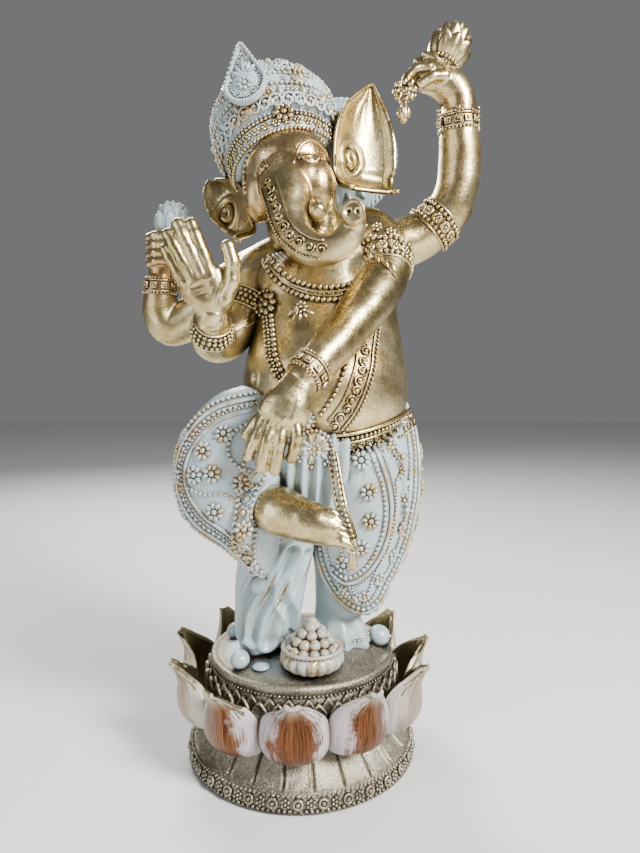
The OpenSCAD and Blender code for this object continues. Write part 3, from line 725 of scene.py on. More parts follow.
def make_plinth():
    bm = turned([(0, 0.9), (20, 0.9), (37.6, 0.9), (38.4, 1.2), (38.5, 3.0), (38.1, 4.8), (37.6, 5.8),
                 (36.6, 6.4), (35.0, 7.6), (32.8, 9.8), (30.8, 12.2), (29.0, 14.8), (27.6, 17.2),
                 (20, 17.6), (0, 17.6)], 600, 4)

    def ribs(co, normal):
        if not RIB_LOW <= co.z <= RIB_HIGH:
            return 0
        turn = (math.atan2(co.y, co.x) * RIB_COUNT / TAU) % 1.0
        off = (turn - 0.5) * TAU * math.hypot(co.x, co.y) / RIB_COUNT
        fade = min(1.0, (co.z - RIB_LOW) / 0.8)
        return (-0.95 * bell(off, 0.6) + 0.22 * bell(abs(off) - 0.85, 0.5)) * fade

    push(bm, ribs)
    push(bm, lambda co, n: 0.10 * noise.noise(co * 0.5) if co.z > 1 else 0)
    finish_piece("foot_plinth_ribbed", bm, champagne, ["foot_plinth"])

    edge = Stamps()
    edge.wreath(bead, 150, 38.5, 1.5, 0.74)
    edge.wreath(bead, 160, 37.9, 5.5, 0.6)
    radius, height = RIM_MIDDLE
    for i, (_, out) in enumerate(around(64)):
        normal = out + UP * 0.2
        place = out * radius + UP * height
        if i % 2:
            edge.press(six_flower, place, normal, UP, (1.75, 1.75, 2.2), 0.15)
        else:
            edge.press(ring, place, normal, UP, (1.8, 1.8, 2.4), 0.3)
            edge.press(bead, place, normal, UP, 0.8, 0.4)
    finish_piece("plinth_rim_beading", edge.bm, champagne)


def make_drum():
    bm = turned([(0, 17), (27, 17), (30, 20), (32.0, 24), (32.1, 27.6), (31.8, 30.2), (31.3, 32.2),
                 (31.6, 33.4), (31.4, 34.6), (30.4, 35.2), (28.8, 34.9), (27.6, 35.2), (24, 36.4),
                 (18, 37.8), (12, 38.8), (6, 39.4), (0, 39.5)], 192, 3)
    push(bm, lambda co, n: 0.12 * noise.noise(co * 0.22) if co.z > 35.4 else 0)
    finish_piece("drum_domed", bm, champagne, ["lotus_drum"])

    band = Stamps()
    arches, radius, foot, wide = 34, 32.1, 24.3, 5.9
    for start, tall, deep, lift in ((0, 7.8, 1.2, 0.1), (math.pi / arches, 6.6, 2.2, 0.5)):
        band.wreath(lancet, arches, radius, foot, (tall, wide, deep), lift, start)
    band.wreath(fine_bead, 150, 31.5, 32.2, 0.5)
    band.wreath(fine_bead, 130, 32.5, 24.0, 0.55)
    finish_piece("drum_leaf_band", band.bm, champagne)


# A petal's outline from its foot up: distance out, height, half width, how far the edges
# fall back, and how much its middle is drawn to a ridge.
PETAL_LINE = [(31.6, 15.6, 2.2, 0.8, 0), (35.4, 15.7, 5.6, 3.2, 0), (39.0, 17.2, 8.2, 6.4, 0),
              (41.2, 20.2, 9.4, 8.2, 0.1),
              (41.9, 23.8, 9.5, 8.2, 0.2), (41.6, 27.2, 8.6, 7.0, 0.4), (41.4, 30.2, 6.6, 4.8, 0.7),
              (42.0, 32.8, 4.2, 2.4, 0.9), (43.4, 35.2, 2.1, 0.9, 0.6), (45.2, 36.8, 0.7, 0.15, 0.2)]


def between(line, t):
    """What a line of stations says at t, from 0 at its first to 1 at its last."""
    k = t * (len(line) - 1)
    i = min(int(k), len(line) - 2)
    return [a + (b - a) * (k - i) for a, b in zip(line[i], line[i + 1])]


def make_petal(number):
    turn = PETAL_START + math.pi / 2 + (number - 1) * TAU / PETAL_COUNT
    shy = chance.uniform(-0.05, 0.05)
    lean = chance.uniform(-1.0, 1.0)
    line = curve_through(PETAL_LINE, 6)
    bm = bmesh.new()
    layer = bm.verts.layers.float_vector.new("petal_lines")
    bmesh.ops.create_grid(bm, x_segments=40, y_segments=45, size=1)
    for v in bm.verts:
        u, t = v.co.x, (v.co.y + 1) / 2
        out, height, half, fall, crest = between(line, t)
        bend = 1 - math.cos(u * math.pi / 2)
        wave = noise.noise(Vector((u * 3, t * 2, number)))
        furrow = 0.2 * math.sin(u * 40 + 6 * wave) * math.sin(math.pi * min(t * 1.05, 1)) ** 0.5
        x = half * math.sin(u * math.pi / 2) + lean * t * t
        y = -(out - fall * bend + furrow + crest * bell(u, 0.3))
        v.co = Vector((x, y, height + shy * out * 0.4))
        v[layer] = Vector((u, t, number * 7.0))
    wall = apply_modifiers(bm, [("SOLIDIFY", {"thickness": 1.3, "offset": 1.0, "use_even_offset": False})])
    bmesh.ops.recalc_face_normals(wall, faces=wall.faces)
    wall.normal_update()
    layer = wall.verts.layers.float_vector["petal_lines"]
    for v in wall.verts:
        if v.normal.y > 0.1:
            v[layer] = v[layer] + Vector((0, 0, INNER_MARK))
    bmesh.ops.rotate(wall, cent=(0, 0, 0), matrix=Matrix.Rotation(turn, 3, "Z"), verts=wall.verts)
    name = "petal_%02d" % number
    finish_piece(name + "_carved", wall, petal_finish, [name], 1)


BOWL_C, BOWL_RIM = Vector((3.9, -21.0, 0)), 43.6


def make_bowl():
    bm = turned([(0, 36.9), (5.6, 36.6), (6.4, 37.0), (8.0, 37.6), (9.4, 39.2), (9.8, 40.8), (9.3, 42.2),
                 (8.8, 42.8), (9.6, 43.2), (9.9, 43.7), (9.4, 44.2), (8.4, 43.8), (7.8, 42.4),
                 (6, 41.2), (0, 40.8)], 144, 4)

    def gadroons(co, normal):
        if co.z > 42.6 or math.hypot(co.x, co.y) < 5.5:
            return 0
        lobe = abs(math.sin(math.atan2(co.y, co.x) * 9)) ** 0.6 - 0.55
        return 1.2 * lobe * math.sin(math.pi * min(max((co.z - 36.8) / 5.8, 0), 1))

    push(bm, gadroons)
    bmesh.ops.translate(bm, vec=BOWL_C, verts=bm.verts)
    finish_piece("sweet_bowl_lobed", bm, offering, ["sweet_bowl"])
    rim = Stamps()
    rim.wreath(fine_bead, 44, 9.0, 42.75, 0.42, centre=BOWL_C)
    finish_piece("bowl_rim_beads", rim.bm, offering)

    heap = Stamps()
    for radius, count, height in ((7.0, 13, 0.0), (5.2, 10, 2.4), (3.2, 6, 4.7), (1.2, 3, 6.6), (0, 1, 8.0)):
        for _, out in around(count, height):
            wobble = Vector([chance.uniform(-0.15, 0.15) for _ in range(3)])
            place = BOWL_C + out * radius + UP * (BOWL_RIM - 0.2 + height) + wobble
            up = Vector((chance.uniform(-1, 1), chance.uniform(-1, 1), 1))
            heap.press(big_bead, place, up, ACROSS, chance.uniform(1.6, 1.8))
    finish_piece("bowl_sweets_heap", heap.bm, offering, ["bowl_sweets"])


def dome_height(x, y):
    """How high the drum's top is above the floor at a place."""
    r = math.hypot(x, y) / DOME_RADIUS
    return DRUM_TOP + DOME_RISE * (1 - r * r)


def make_loose_sweets():
    bm = bmesh.new()
    for x, y, r in ((-19.4, -18, 3.2), (27.2, 1, 3.8), (-24, 5, 3)):
        add_egg(bm, (x, y, dome_height(x, y) + r * 0.7), (r, r, r * 0.97), 0, 24, 16)
    add_egg(bm, (-12.2, -20.5, dome_height(-12.2, -20.5) + 0.3), (3.0, 2.4, 1.2), 0, 20, 12)
    push(bm, lambda co, n: 0.08 * noise.noise(co * 0.9))
    finish_piece("loose_sweets_round", bm, white, ["loose_sweets"])


# ---------------------------------------------------------------- legs and clothing

skins = {}

LEG = [(13, -1, 37, 11.4, 9.4), (13, -1, 40.5, 9.6, 8.6), (12.6, 0, 46, 8.0, 7.6), (12.5, 0, 52, 7.4, 7.4),
       (12, 0, 62, 7.4, 7.4), (11.5, 0, 74, 9, 9), (10.5, 0, 88, 13, 12)]
HIP = [(22.6, -9, 50.0, 3, 3), (21.4, -8, 54, 8, 7.5), (19.8, -6, 62, 12.6, 12.4), (20, -4, 72, 16, 17),
       (21, -3, 82, 18.4, 19), (20.6, -3, 92, 20.4, 20.6), (17.8, -3.5, 102, 22.8, 22.8),
       (14.2, -4, 107, 25.4, 23.8), (12.4, -4, 111.2, 25.4, 23.6)]
KNEE = [(-10.4, -29, 69.5, 2.2, 2.5), (-11.4, -27.5, 73, 5, 6.2), (-13.8, -25, 79, 9, 10.6),
        (-17, -22.4, 86, 15, 14),
        (-20, -20.4, 94, 17.6, 16), (-20.6, -19, 103, 17.6, 16.6), (-17.6, -16, 111, 15.4, 16),
        (-12.5, -12, 117, 11, 12.6)]
DRAPE = [(-10.5, -11, 38.6, 7.4, 6), (-12, -9.6, 43, 9.6, 7.6), (-11, -8.4, 52, 11.4, 8.6),
         (-10, -8, 62, 12, 9.2),
         (-8, -8, 71, 12, 9.8), (-4, -9, 80, 11, 10.4), (2, -9, 90, 11, 12)]


def mould(name, node, lumps, voxel, rounds, shape, finish=gold, key=None, factor=0.5):
    """A piece melted together from lumps and pushed into shape. A lump is a function and what it's
    given after the mesh. The piece's skin is kept under its key, for ornaments."""
    bm = bmesh.new()
    for add, *how in lumps:
        add(bm, *how)
    bm = knead(bm, voxel, rounds, factor)
    push(bm, shape)
    if key:
        skins[key] = Skin(bm)
    finish_piece(name, bm, finish, [node])


def uneven(height, fineness):
    """A shape that's only slightly uneven."""
    return lambda co, n: height * noise.noise(co * fineness)


def make_standing_leg():
    def folds(co, normal):
        a = math.atan2(co.y, co.x - 12.4)
        low = min(max((78 - co.z) / 30, 0), 1)
        hem = min(max((47 - co.z) / 8, 0), 1)
        long_folds = math.sin(a * 5 + co.z * 0.05 + 1.0) * 0.5
        return low * long_folds + hem * 0.9 * math.sin(a * 9 + 0.6) + 0.2 * noise.noise(co * 0.18)

    mould("standing_leg_cloth", "standing_leg", [(add_limb, LEG, 40, 6, ACROSS, 0.2)], 0.7, 3, folds, white,
          "leg")
    hem = Stamps()
    line = round_limb(skins["leg"], (13, -1, 40.6), UP)
    hem.cord(spaced(line, 0.8, True), 0.42, 6, 0.1, True)
    hem.row(fine_bead, spaced([(p - UP * 1.1, n) for p, n in line], 1.5, True), 0.55, 0.35)
    finish_piece("leg_hem_trim", hem.bm, white_relief)


def make_centre_drape():
    bm = bmesh.new()
    add_limb(bm, DRAPE, 36, 6, (1, 0, 0), 0.2)
    bm = knead(bm, 0.6, 3)
    plain = Skin(bm)
    valleys = [[(-6.8, 74), (-13.4, 63), (-18.8, 53), (-19.6, 45)],
               [(-2.6, 73), (-8.8, 62), (-14, 52), (-15.6, 44)],
               [(1.8, 71), (-3.6, 60.5), (-8.6, 50.5), (-10.4, 42.5)],
               [(5, 66), (2, 57), (-2.4, 49), (-4, 42)]]
    finders = [line_finder([plain.front(x, z)[0] for x, z in line]) for line in valleys]

    def folds(co, normal):
        if normal.y > 0.5:
            return 0.8 * (normal.y - 0.5) * math.sin(co.x * 1.1 + co.z * 0.12)
        out = 0.0
        for find in finders:
            d = find(co)
            out += -2.8 * math.exp(-d / 1.4) + 1.1 * bell(d - 2.8, 1.4)
        return max(out, -2.8) + 0.15 * noise.noise(co * 0.2)

    push(bm, folds)
    for _ in range(3):
        bmesh.ops.smooth_vert(bm, verts=bm.verts, factor=0.5, use_axis_x=True, use_axis_y=True,
                              use_axis_z=True)
    skins["drape"] = Skin(bm)
    finish_piece("centre_drape_folds", bm, white, ["centre_drape"])
    streak = Stamps()
    for line in ([(-7.5, 66), (-10, 60.5), (-13.5, 55)], [(-3.5, 62), (-6, 57), (-9.5, 52)]):
        places = spaced(over_front(skins["drape"], line), 0.3)
        for k, (p, n, d) in enumerate(places):
            fade = math.sin(math.pi * (k + 0.5) / len(places)) * chance.uniform(0.7, 1.1)
            streak.press(fine_bead, p, n, d, (0.9, 0.75 * fade + 0.1, 0.16))
    finish_piece("drape_gold_streaks", streak.bm, jewel_gold)
    pearl = bmesh.new()
    p, n = skins["drape"].front(-12, 61.8)
    add_egg(pearl, p + n * 1.5, (2.7, 2.7, 2.7), 0, 24, 16)
    finish_piece("drape_pearl", pearl, white, ["drape_bead"])


def make_hip_drape():
    bm = bmesh.new()
    add_limb(bm, HIP, 48, 6, (1, 0, 0), 0.05)
    bm = knead(bm, 0.75, 4)
    ridge = line_finder([(30, -24, 112), (33, -19, 96), (33.5, -18, 84), (31, -19, 72), (24, -21, 62),
                         (15, -19, 57)])
    pleat = [line_finder([(14 + 4.6 * k, -27, 108), (15 + 4.4 * k, -25, 94 - 2 * k)]) for k in range(3)]

    def shape(co, normal):
        out = 0.9 * bell(ridge(co), 1.1) - 0.5 * bell(ridge(co) - 1.6, 1.0)
        for find in pleat:
            out -= 0.7 * bell(find(co), 1.0)
        return out + 0.25 * noise.noise(co * 0.12)

    push(bm, shape)
    for v in bm.verts:
        v.co.z -= 0.62 * max(v.co.z - 100, 0) * min(max((-v.co.y - 6) / 18, 0), 1)
    skins["hip"] = Skin(bm)
    finish_piece("left_hip_drape_cloth", bm, white, ["left_hip_drape"])


SLEEVE = [(-19, -21, 91, 8, 9), (-14.6, -25.6, 88.4, 10, 12.6), (-11.4, -28, 86.8, 10.6, 13.8),
          (-10, -28.8, 86.2, 10.4, 13.6)]


def make_knee_drape():
    lumps = [(add_limb, KNEE, 44, 6, ACROSS, 0.25), (add_limb, SLEEVE, 44, 6, (0, 1, 0), 0.1)]
    mould("right_knee_drape_cloth", "right_knee_drape", lumps, 0.7, 4, uneven(0.25, 0.12), white, "knee")


def make_front_pleats():
    def folds(co, normal):
        return 1.15 * math.sin((co.x - (co.z - 90) * 0.06) * 1.55) * (normal.y < 0.2)

    fall = [(3.5, -25, 86, 7.4, 4), (3.5, -26.4, 95, 9, 5), (4.4, -27, 102, 10, 5.6),
            (5.4, -26, 110, 10, 5.4)]
    mould("front_pleats_folds", "front_pleats", [(add_limb, fall, 36, 6, ACROSS, 0.3)], 0.5, 2, folds, white)


# ---------------------------------------------------------------- torso, arms and foot

TORSO = [(8, -4, 104, 22, 20), (8, -4.5, 112, 25.6, 23.6), (8, -5, 120, 27.2, 25.6),
         (8.2, -5, 129, 27.2, 25.8),
         (8.4, -4.5, 139, 25.4, 22.8), (8.4, -4, 149, 24, 18.8), (8.4, -3.5, 158, 23.8, 16.4),
         (8.2, -3, 166, 23, 14.8),
         (7, -3.5, 173, 17.6, 12.4), (4.5, -4.5, 179, 11, 10), (2.5, -6, 186, 9, 9)]
FRONT_RIGHT_ARM = [(-4, -2, 169, 8.4), (-13.4, -3, 163.4, 8.7), (-17.4, -5, 154.4, 7.9),
                   (-20.8, -8, 145.4, 7.2),
                   (-25.2, -12.5, 140.2, 6.9), (-27.4, -18, 140.8, 6.6), (-26.2, -23, 144.2, 5.7),
                   (-25.6, -25.6, 147.4, 5)]
FRONT_LEFT_ARM = [(10, -4, 174, 7.9), (20.5, -5.5, 176.4, 8.3), (26.6, -9, 170.4, 8.4), (26.8, -14, 161, 8),
                  (20.6, -22, 150.6, 7.5), (12.8, -30, 140.7, 6.7), (5.8, -37, 132.6, 5.9),
                  (1.4, -41, 127.6, 5)]
REAR_RIGHT_ARM = [(-6, 5, 170, 8.4), (-21.9, 9, 163, 8.4), (-36.5, 11, 152.6, 7.5), (-46.2, 11, 147, 6.9),
                  (-50, 10, 151, 6.4), (-50.2, 9, 157, 5.8), (-49.6, 8.8, 163.5, 5.2)]
REAR_LEFT_ARM = [(18, 2.4, 170, 9), (33, 4.6, 174.6, 8.8), (42.6, 5, 178.6, 8.1), (49.6, 4, 184.8, 7.6),
                 (53, 3, 192.6, 7.3), (53.7, 2, 202.3, 7.1), (53.1, 1, 210.1, 6.6), (52.6, 0.6, 217, 5.8)]
RAISED_FOOT = [(-10, -30, 90.4, 6.6), (-5, -35, 89.6, 7.2), (0.6, -38.2, 88, 6.4, 5.8),
               (5.4, -39.8, 86.9, 5.8, 5.3),
               (9.4, -40.6, 85.7, 5.1, 4.4)]


def make_torso():
    navel = Vector((-14.1, -19.8, 128))
    under_belly = line_finder([(-16, -14, 113), (-4, -25, 110), (8, -28, 109), (22, -25, 110),
                               (33, -13, 114)])

    def shape(co, normal):
        gap = (co - navel).length
        out = 0.45 * bell(gap - 2.3, 0.8) - 1.5 * bell(gap, 1.3) - 0.5 * bell(under_belly(co), 2.5)
        return out + 0.25 * noise.noise(co * 0.1)

    lumps = [(add_limb, TORSO, 56, 6, ACROSS, 0.2), (add_egg, (-4.5, -13, 160), (9, 6, 8)),
             (add_egg, (19, -13, 160), (9, 6, 8))]
    mould("torso_belly", "torso", lumps, 0.75, 8, shape, key="torso")


def make_arms():
    for key, pose, stations in (("front_right", "bent", FRONT_RIGHT_ARM),
                                ("front_left", "lowered", FRONT_LEFT_ARM),
                                ("rear_right", "bent", REAR_RIGHT_ARM),
                                ("rear_left", "raised", REAR_LEFT_ARM)):
        node = key + "_arm"
        mould(node + "_" + pose, node, [(add_limb, stations, 28, 6)], 0.55, 6, uneven(0.18, 0.16), key=key)


def add_finger(bm, radius, *joints):
    """A finger through its joints, slimmer between them and towards the rounded tip."""
    stations = []
    for i, p in enumerate(joints):
        r = radius * (1.06 - 0.2 * i / (len(joints) - 1))
        stations.append((*p, r))
        if i < len(joints) - 1:
            stations.append((*[(a + b) / 2 for a, b in zip(p, joints[i + 1])], r * 0.9))
    add_limb(bm, stations, 14, 4, (0.3, 1, 0.2), 0.85)


def mould_fine(name, node, lumps, shape, voxel=0.36):
    """A hand or foot, melted together more finely than the larger pieces."""
    mould(name, node, lumps, voxel, 4, shape, factor=0.4)


def make_front_right_hand():
    palm = [(-26, -24.4, 144.6, 5.2, 5.4), (-25.9, -26.4, 148.6, 3.9, 5.2), (-26.6, -28.2, 153, 3.5, 7.2),
            (-28.8, -29, 157.4, 3.0, 7.2)]
    lumps = [
        (add_limb, palm, 24, 5, (0, 1, 0), 0.6), (add_egg, (-22.2, -28.6, 152), (3.2, 2.8, 4.6), 0.25),
        (add_finger, 2.35, (-25.4, -29.2, 157.5), (-27.4, -30.2, 163.6), (-29.4, -30.8, 169),
         (-30.8, -30.4, 172.6)),
        (add_finger, 2.4, (-28, -29.6, 158), (-30.6, -30.8, 164), (-33, -31.2, 169.2), (-34.6, -30.8, 172.4)),
        (add_finger, 2.3, (-30.4, -29.6, 156.8), (-33.4, -30.6, 162), (-35.9, -31, 166.6),
         (-37.6, -30.6, 169.6)),
        (add_finger, 2.1, (-32.2, -29.2, 154.4), (-35, -29.8, 158.8), (-37.2, -30.2, 162.8),
         (-38.6, -30, 165.4)),
        (add_finger, 2.6, (-21.6, -29.2, 150.6), (-19.2, -30.4, 156), (-18.8, -31.2, 161.4),
         (-20, -31.6, 166))]
    creases = [line_finder(line) for line in (
        [(-31.5, -32, 153.8), (-27.6, -32, 155.2), (-23.8, -32, 156.8)],
        [(-30.8, -32, 151.4), (-26.8, -32, 152.6), (-22.8, -32, 155)],
        [(-22.8, -33, 156), (-24.4, -33, 152), (-24.6, -32, 148.4)])]
    hollow = Vector((-27.6, -33, 153))

    def shape(co, normal):
        out = -0.4 * sum(bell(find(co), 0.75) for find in creases) - 0.9 * bell((co - hollow).length, 4.2)
        return out + 0.08 * noise.noise(co * 0.5)

    mould_fine("front_right_hand_open", "front_right_hand", lumps, shape, voxel=0.34)


def make_front_left_hand():
    palm = [(2.6, -40.2, 129, 4.6, 5), (0.2, -42.2, 125.2, 3.8, 5.2), (-2.4, -43.6, 120.6, 3.8, 6.9),
            (-4.4, -44.4, 116.6, 3.2, 6.9)]
    lumps = [
        (add_limb, palm, 24, 5, (0, 1, 0), 0.6),
        (add_finger, 1.9, (-0.4, -44.4, 118), (0.2, -45.8, 112.6), (-0.4, -45.8, 109), (-1.4, -45, 106)),
        (add_finger, 2.0, (-3.4, -44.9, 116.6), (-4.4, -46.2, 110.8), (-5.2, -46, 106.6), (-6, -45.2, 102.8)),
        (add_finger, 2.0, (-6.4, -44.8, 116), (-8, -46.2, 110.8), (-8.9, -46, 107), (-9.6, -45, 103.4)),
        (add_finger, 1.9, (-8.8, -43.8, 116.8), (-11, -45, 111.8), (-12.2, -44.8, 109), (-13.2, -44, 106.4)),
        (add_finger, 2.1, (-2.8, -41.6, 124), (-7.6, -41.6, 119.6), (-11.4, -41.2, 115.6), (-14, -41, 112.2))]
    tendons = [line_finder(line) for line in (
        [(-1, -47, 116.6), (0.4, -46, 122)], [(-3.8, -47, 116), (-1.4, -46, 122)],
        [(-6.6, -47, 116), (-3.2, -46, 122)])]

    def shape(co, normal):
        return 0.35 * sum(bell(find(co), 1.0) for find in tendons) + 0.08 * noise.noise(co * 0.5)

    mould_fine("front_left_hand_lowered", "front_left_hand", lumps, shape, voxel=0.34)


def make_rear_right_hand():
    palm = [(-49.8, 8.8, 162, 4.8), (-49, 8.6, 166, 4.4, 5), (-48, 8.2, 172, 4.4, 6),
            (-47.4, 8, 177, 3.6, 4.8)]
    lumps = [(add_limb, palm, 24, 5)]
    for k in range(4):
        z = 169.2 + 2.9 * k
        lumps.append((add_finger, 1.6, (-43.4 + 0.4 * k, 6, z), (-46, 2.6, z - 0.3), (-50, 2.2, z - 0.6),
                      (-53, 5.2, z - 0.6)))
    lumps.append((add_finger, 1.8, (-44.6, 10.4, 170), (-42.2, 8, 174), (-43.4, 4.6, 178.4)))
    mould_fine("rear_right_hand_curled", "rear_right_hand", lumps, uneven(0.08, 0.5))


def make_rear_left_hand():
    palm = [(52.7, 0.6, 214, 5.6), (52.6, 0.4, 220.2, 5.8), (50, 0, 224.6, 6), (45.4, -0.8, 227.4, 5.2, 5.8),
            (40.8, -1.6, 228, 4.2, 5.4)]
    lumps = [(add_limb, palm, 26, 5)]
    for k in range(4):
        y = -5.2 + 2.5 * k
        lumps.append((add_finger, 1.75, (42, y + 0.3, 229), (37.6, y, 228.4), (34.4, y - 0.2, 225.2),
                      (34.6, y - 0.2, 221)))
    lumps += [(add_finger, 1.9, (47, -5, 226.4), (42.8, -6.8, 225.4), (38.6, -7, 222.8)),
              (add_limb, [(44, 1, 230.4, 2.6), (41.4, 0.6, 233.2, 2.2), (38.4, 0, 233.4, 1.2)], 14, 4),
              (add_limb, [(46.6, -2.6, 230, 2.4), (43.6, -3.2, 233, 1.8), (40.6, -3.4, 234, 1)], 14, 4)]
    mould_fine("rear_left_hand_arched", "rear_left_hand", lumps, uneven(0.08, 0.5))


def make_raised_foot():
    lumps = [(add_limb, RAISED_FOOT, 28, 5, UP, 0.8), (add_egg, (-6.5, -36, 92), (4.6, 4, 5)),
             (add_egg, (3, -38.8, 84.6), (7, 3.8, 3), 0.16)]
    for k, r in enumerate((1.75, 1.45, 1.35, 1.25, 1.1)):
        z = 82.2 + 2.05 * k
        lumps.append((add_finger, r, (9.4 - 0.5 * k, -42 + 0.2 * k, z + 0.8),
                      (12.4 - 0.7 * k, -43.4 + 0.3 * k, z + 0.6), (14.8 - 0.9 * k, -43.4 + 0.3 * k, z - 0.4)))
    mould_fine("raised_foot_bare", "raised_foot", lumps, uneven(0.1, 0.4), voxel=0.38)


# ---------------------------------------------------------------- head

TRUNK = [(-3.6, -17, 190, 9.6), (-3.4, -24.6, 182, 7.6), (-2.7, -29.3, 174.8, 5.9), (-0.6, -32.4, 169, 5.3),
         (2.6, -34.8, 165.2, 4.9), (6.6, -36.4, 163.6, 4.5), (10.6, -37, 164.2, 4.2),
         (13.8, -37.2, 166.8, 4.0),
         (15.5, -37.8, 170, 3.7), (15.6, -40.4, 172.2, 3.4), (15.2, -44.6, 172.2, 3.4)]
TRUNK_TIP = Vector((15.2, -44.6, 172.2))


def make_head():
    bm = bmesh.new()
    add_egg(bm, (-4.2, -9, 193), (14.6, 14.4, 14.4), 0, 28, 20)
    add_egg(bm, (-3.4, -14.8, 195.4), (12.6, 10.4, 10.4), -0.1, 28, 20)
    add_egg(bm, (-3.4, -19.4, 188), (8.8, 8.2, 10), -0.1)
    add_egg(bm, (3.8, -16.4, 187), (7.8, 7.6, 9.6), -0.1)
    add_egg(bm, (1.4, -20.6, 187.4), (7.6, 7.4, 8.4), -0.15)
    add_egg(bm, (4.6, -19.8, 186), (7, 7.6, 9.2), -0.05)
    add_egg(bm, (-12.4, -14.6, 186), (5.4, 6, 9), 0.1)
    add_egg(bm, (7.2, -13.6, 177.4), (4.8, 8, 9.6), 0.05)
    add_egg(bm, (-1, -10, 178), (10, 11, 12))
    add_egg(bm, (5.6, -24, 169.4), (4, 3.4, 2.4))
    add_egg(bm, (4.4, -20, 170), (5.4, 5, 4))
    add_limb(bm, TRUNK, 34, 6, (0, 1, 0), 0.12)
    bm = knead(bm, 0.42, 12)
    trunk_line = curve_through(TRUNK, 14)
    trunk_tree = kdtree.KDTree(len(trunk_line))
    for i, p in enumerate(trunk_line):
        trunk_tree.insert(Vector(p[:3]), i)
    trunk_tree.balance()
    mouth = Vector((2.6, -28.6, 172))
    eye, far_eye = Vector((3.8, -26, 192.8)), Vector((-13.2, -24.4, 190.8))
    disc_at = len(trunk_line) - 1

    def face(co, normal):
        out = -0.8 * bell((co - eye).length, 3.0) - 0.6 * bell((co - far_eye).length, 2.8)
        _, index, gap = trunk_tree.find(co)
        if gap < trunk_line[index][3] + 2.5:
            out -= 0.25 * bell(index - (disc_at - 16), 5)
        out += -2.2 * bell((co - mouth).length, 3.6)
        across, up = co.x - TRUNK_TIP.x, co.z - TRUNK_TIP.z
        if co.y < TRUNK_TIP.y + 2.2 and normal.y < 0.2:
            out += 0.55 * bell(math.hypot(across, up) - 2.7, 0.55)
            out -= 1.9 * (bell(math.hypot(across - 1.15, up), 0.7) + bell(math.hypot(across + 1.15, up), 0.7))
        return out + 0.1 * noise.noise(co * 0.2)

    push(bm, face)
    skins["head"] = Skin(bm)
    finish_piece("head_and_trunk", bm, gold, ["head", "trunk"])

    eyes = Stamps()
    for centre, r, slant in ((eye, 1.35, 0.25), (far_eye, 1.25, -0.2)):
        p, n = skins["head"].near(centre)
        eyes.press(big_bead, p, n, Vector((1, 0, slant)), (r * 1.4, r * 0.85, r * 0.9), -0.1)
        across = (Vector((1, 0, slant)) - n * n.dot(Vector((1, 0, slant)))).normalized()
        up = n.cross(across) * (1 if n.cross(across).z > 0 else -1)
        for reach, rise, thick in ((2.7, 1.5, 0.55), (2.6, -1.2, 0.42), (3.6, 2.9, 0.4)):
            arc = [p + across * (reach * u) + up * (rise * (1 - u * u))
                   for u in (-1, -0.6, -0.2, 0.2, 0.6, 1)]
            line = [skins["head"].near(q) for q in curve_through(arc, 4)]
            eyes.cord(spaced(line, 0.5), thick, 8, 0.25)
    for brow, thick in (([(-1.4, 190.6), (-0.6, 194), (0.8, 197), (4, 199.2), (7.2, 198), (9.2, 195.2)],
                         0.62),
                        ([(-16.6, 193.4), (-15, 196), (-12.6, 196.8), (-10.6, 195)], 0.5)):
        eyes.cord(sink_ends(spaced(over_front(skins["head"], brow), 0.6), thick), thick, 8, -0.1)
    finish_piece("eyes_lidded", eyes.bm, gold)
    stub = bmesh.new()
    add_limb(stub, [(3.4, -20, 181, 3.2), (4.8, -26, 178, 3.1), (5.6, -29.6, 176.2, 2.9)], 22, 5)
    stub = knead(stub, 0.3, 3)
    face_end = Vector((6.2, -32.6, 175))
    push(stub, lambda co, n: -0.5 * bell((co - face_end).length, 2.2))
    finish_piece("tusk_stub", stub, gold, ["tusk"])


def make_cup(outline, rows, across, centre, turn, shape, thick):
    """A cupped sheet such as an ear: outline stations are (x, y, z, half width, cup)."""
    line = curve_through(outline, 8)
    bm = bmesh.new()
    made = bmesh.ops.create_grid(bm, x_segments=across, y_segments=rows, size=1)
    for v in made["verts"]:
        u, t = v.co.x, (v.co.y + 1) / 2
        x, y, z, half, cup = between(line, t)
        v.co = Vector((x + half * u, y - cup * u * u + shape(u, t, x + half * u, z), z))
    bmesh.ops.transform(bm, matrix=Matrix.Translation(centre) @ Matrix.Rotation(turn, 4, "Z"), verts=bm.verts)
    bmesh.ops.recalc_face_normals(bm, faces=bm.faces)
    wall = apply_modifiers(bm, [("SOLIDIFY", {"thickness": thick, "offset": 0.0, "use_even_offset": False})])
    bmesh.ops.recalc_face_normals(wall, faces=wall.faces)
    return wall


LEFT_EAR = [(0.2, -3.4, -12.6, 7.6, 0.6), (0, -2.2, -10.6, 10.4, 1.8), (0, 0.2, -5, 11.8, 3.6),
            (0, 1.4, 0, 12, 4.8),
            (0.5, 1.6, 7, 11.2, 4.6), (1.6, 1.6, 14, 8.6, 3.2), (3.8, 1.8, 20, 4.6, 1.5),
            (6, 2, 25, 0.4, 0.1)]
RIGHT_EAR = [(8, -1, -11.5, 1.2, 0.3), (6, -1, -8.5, 5, 1.2), (3, -0.5, -4, 8, 2.4), (0, 0, 2, 9.6, 3),
             (-2, 0.2, 6, 9, 2.8), (-5.5, 0.4, 9.6, 6.4, 1.6), (-10, 0.6, 12, 1.4, 0.4)]


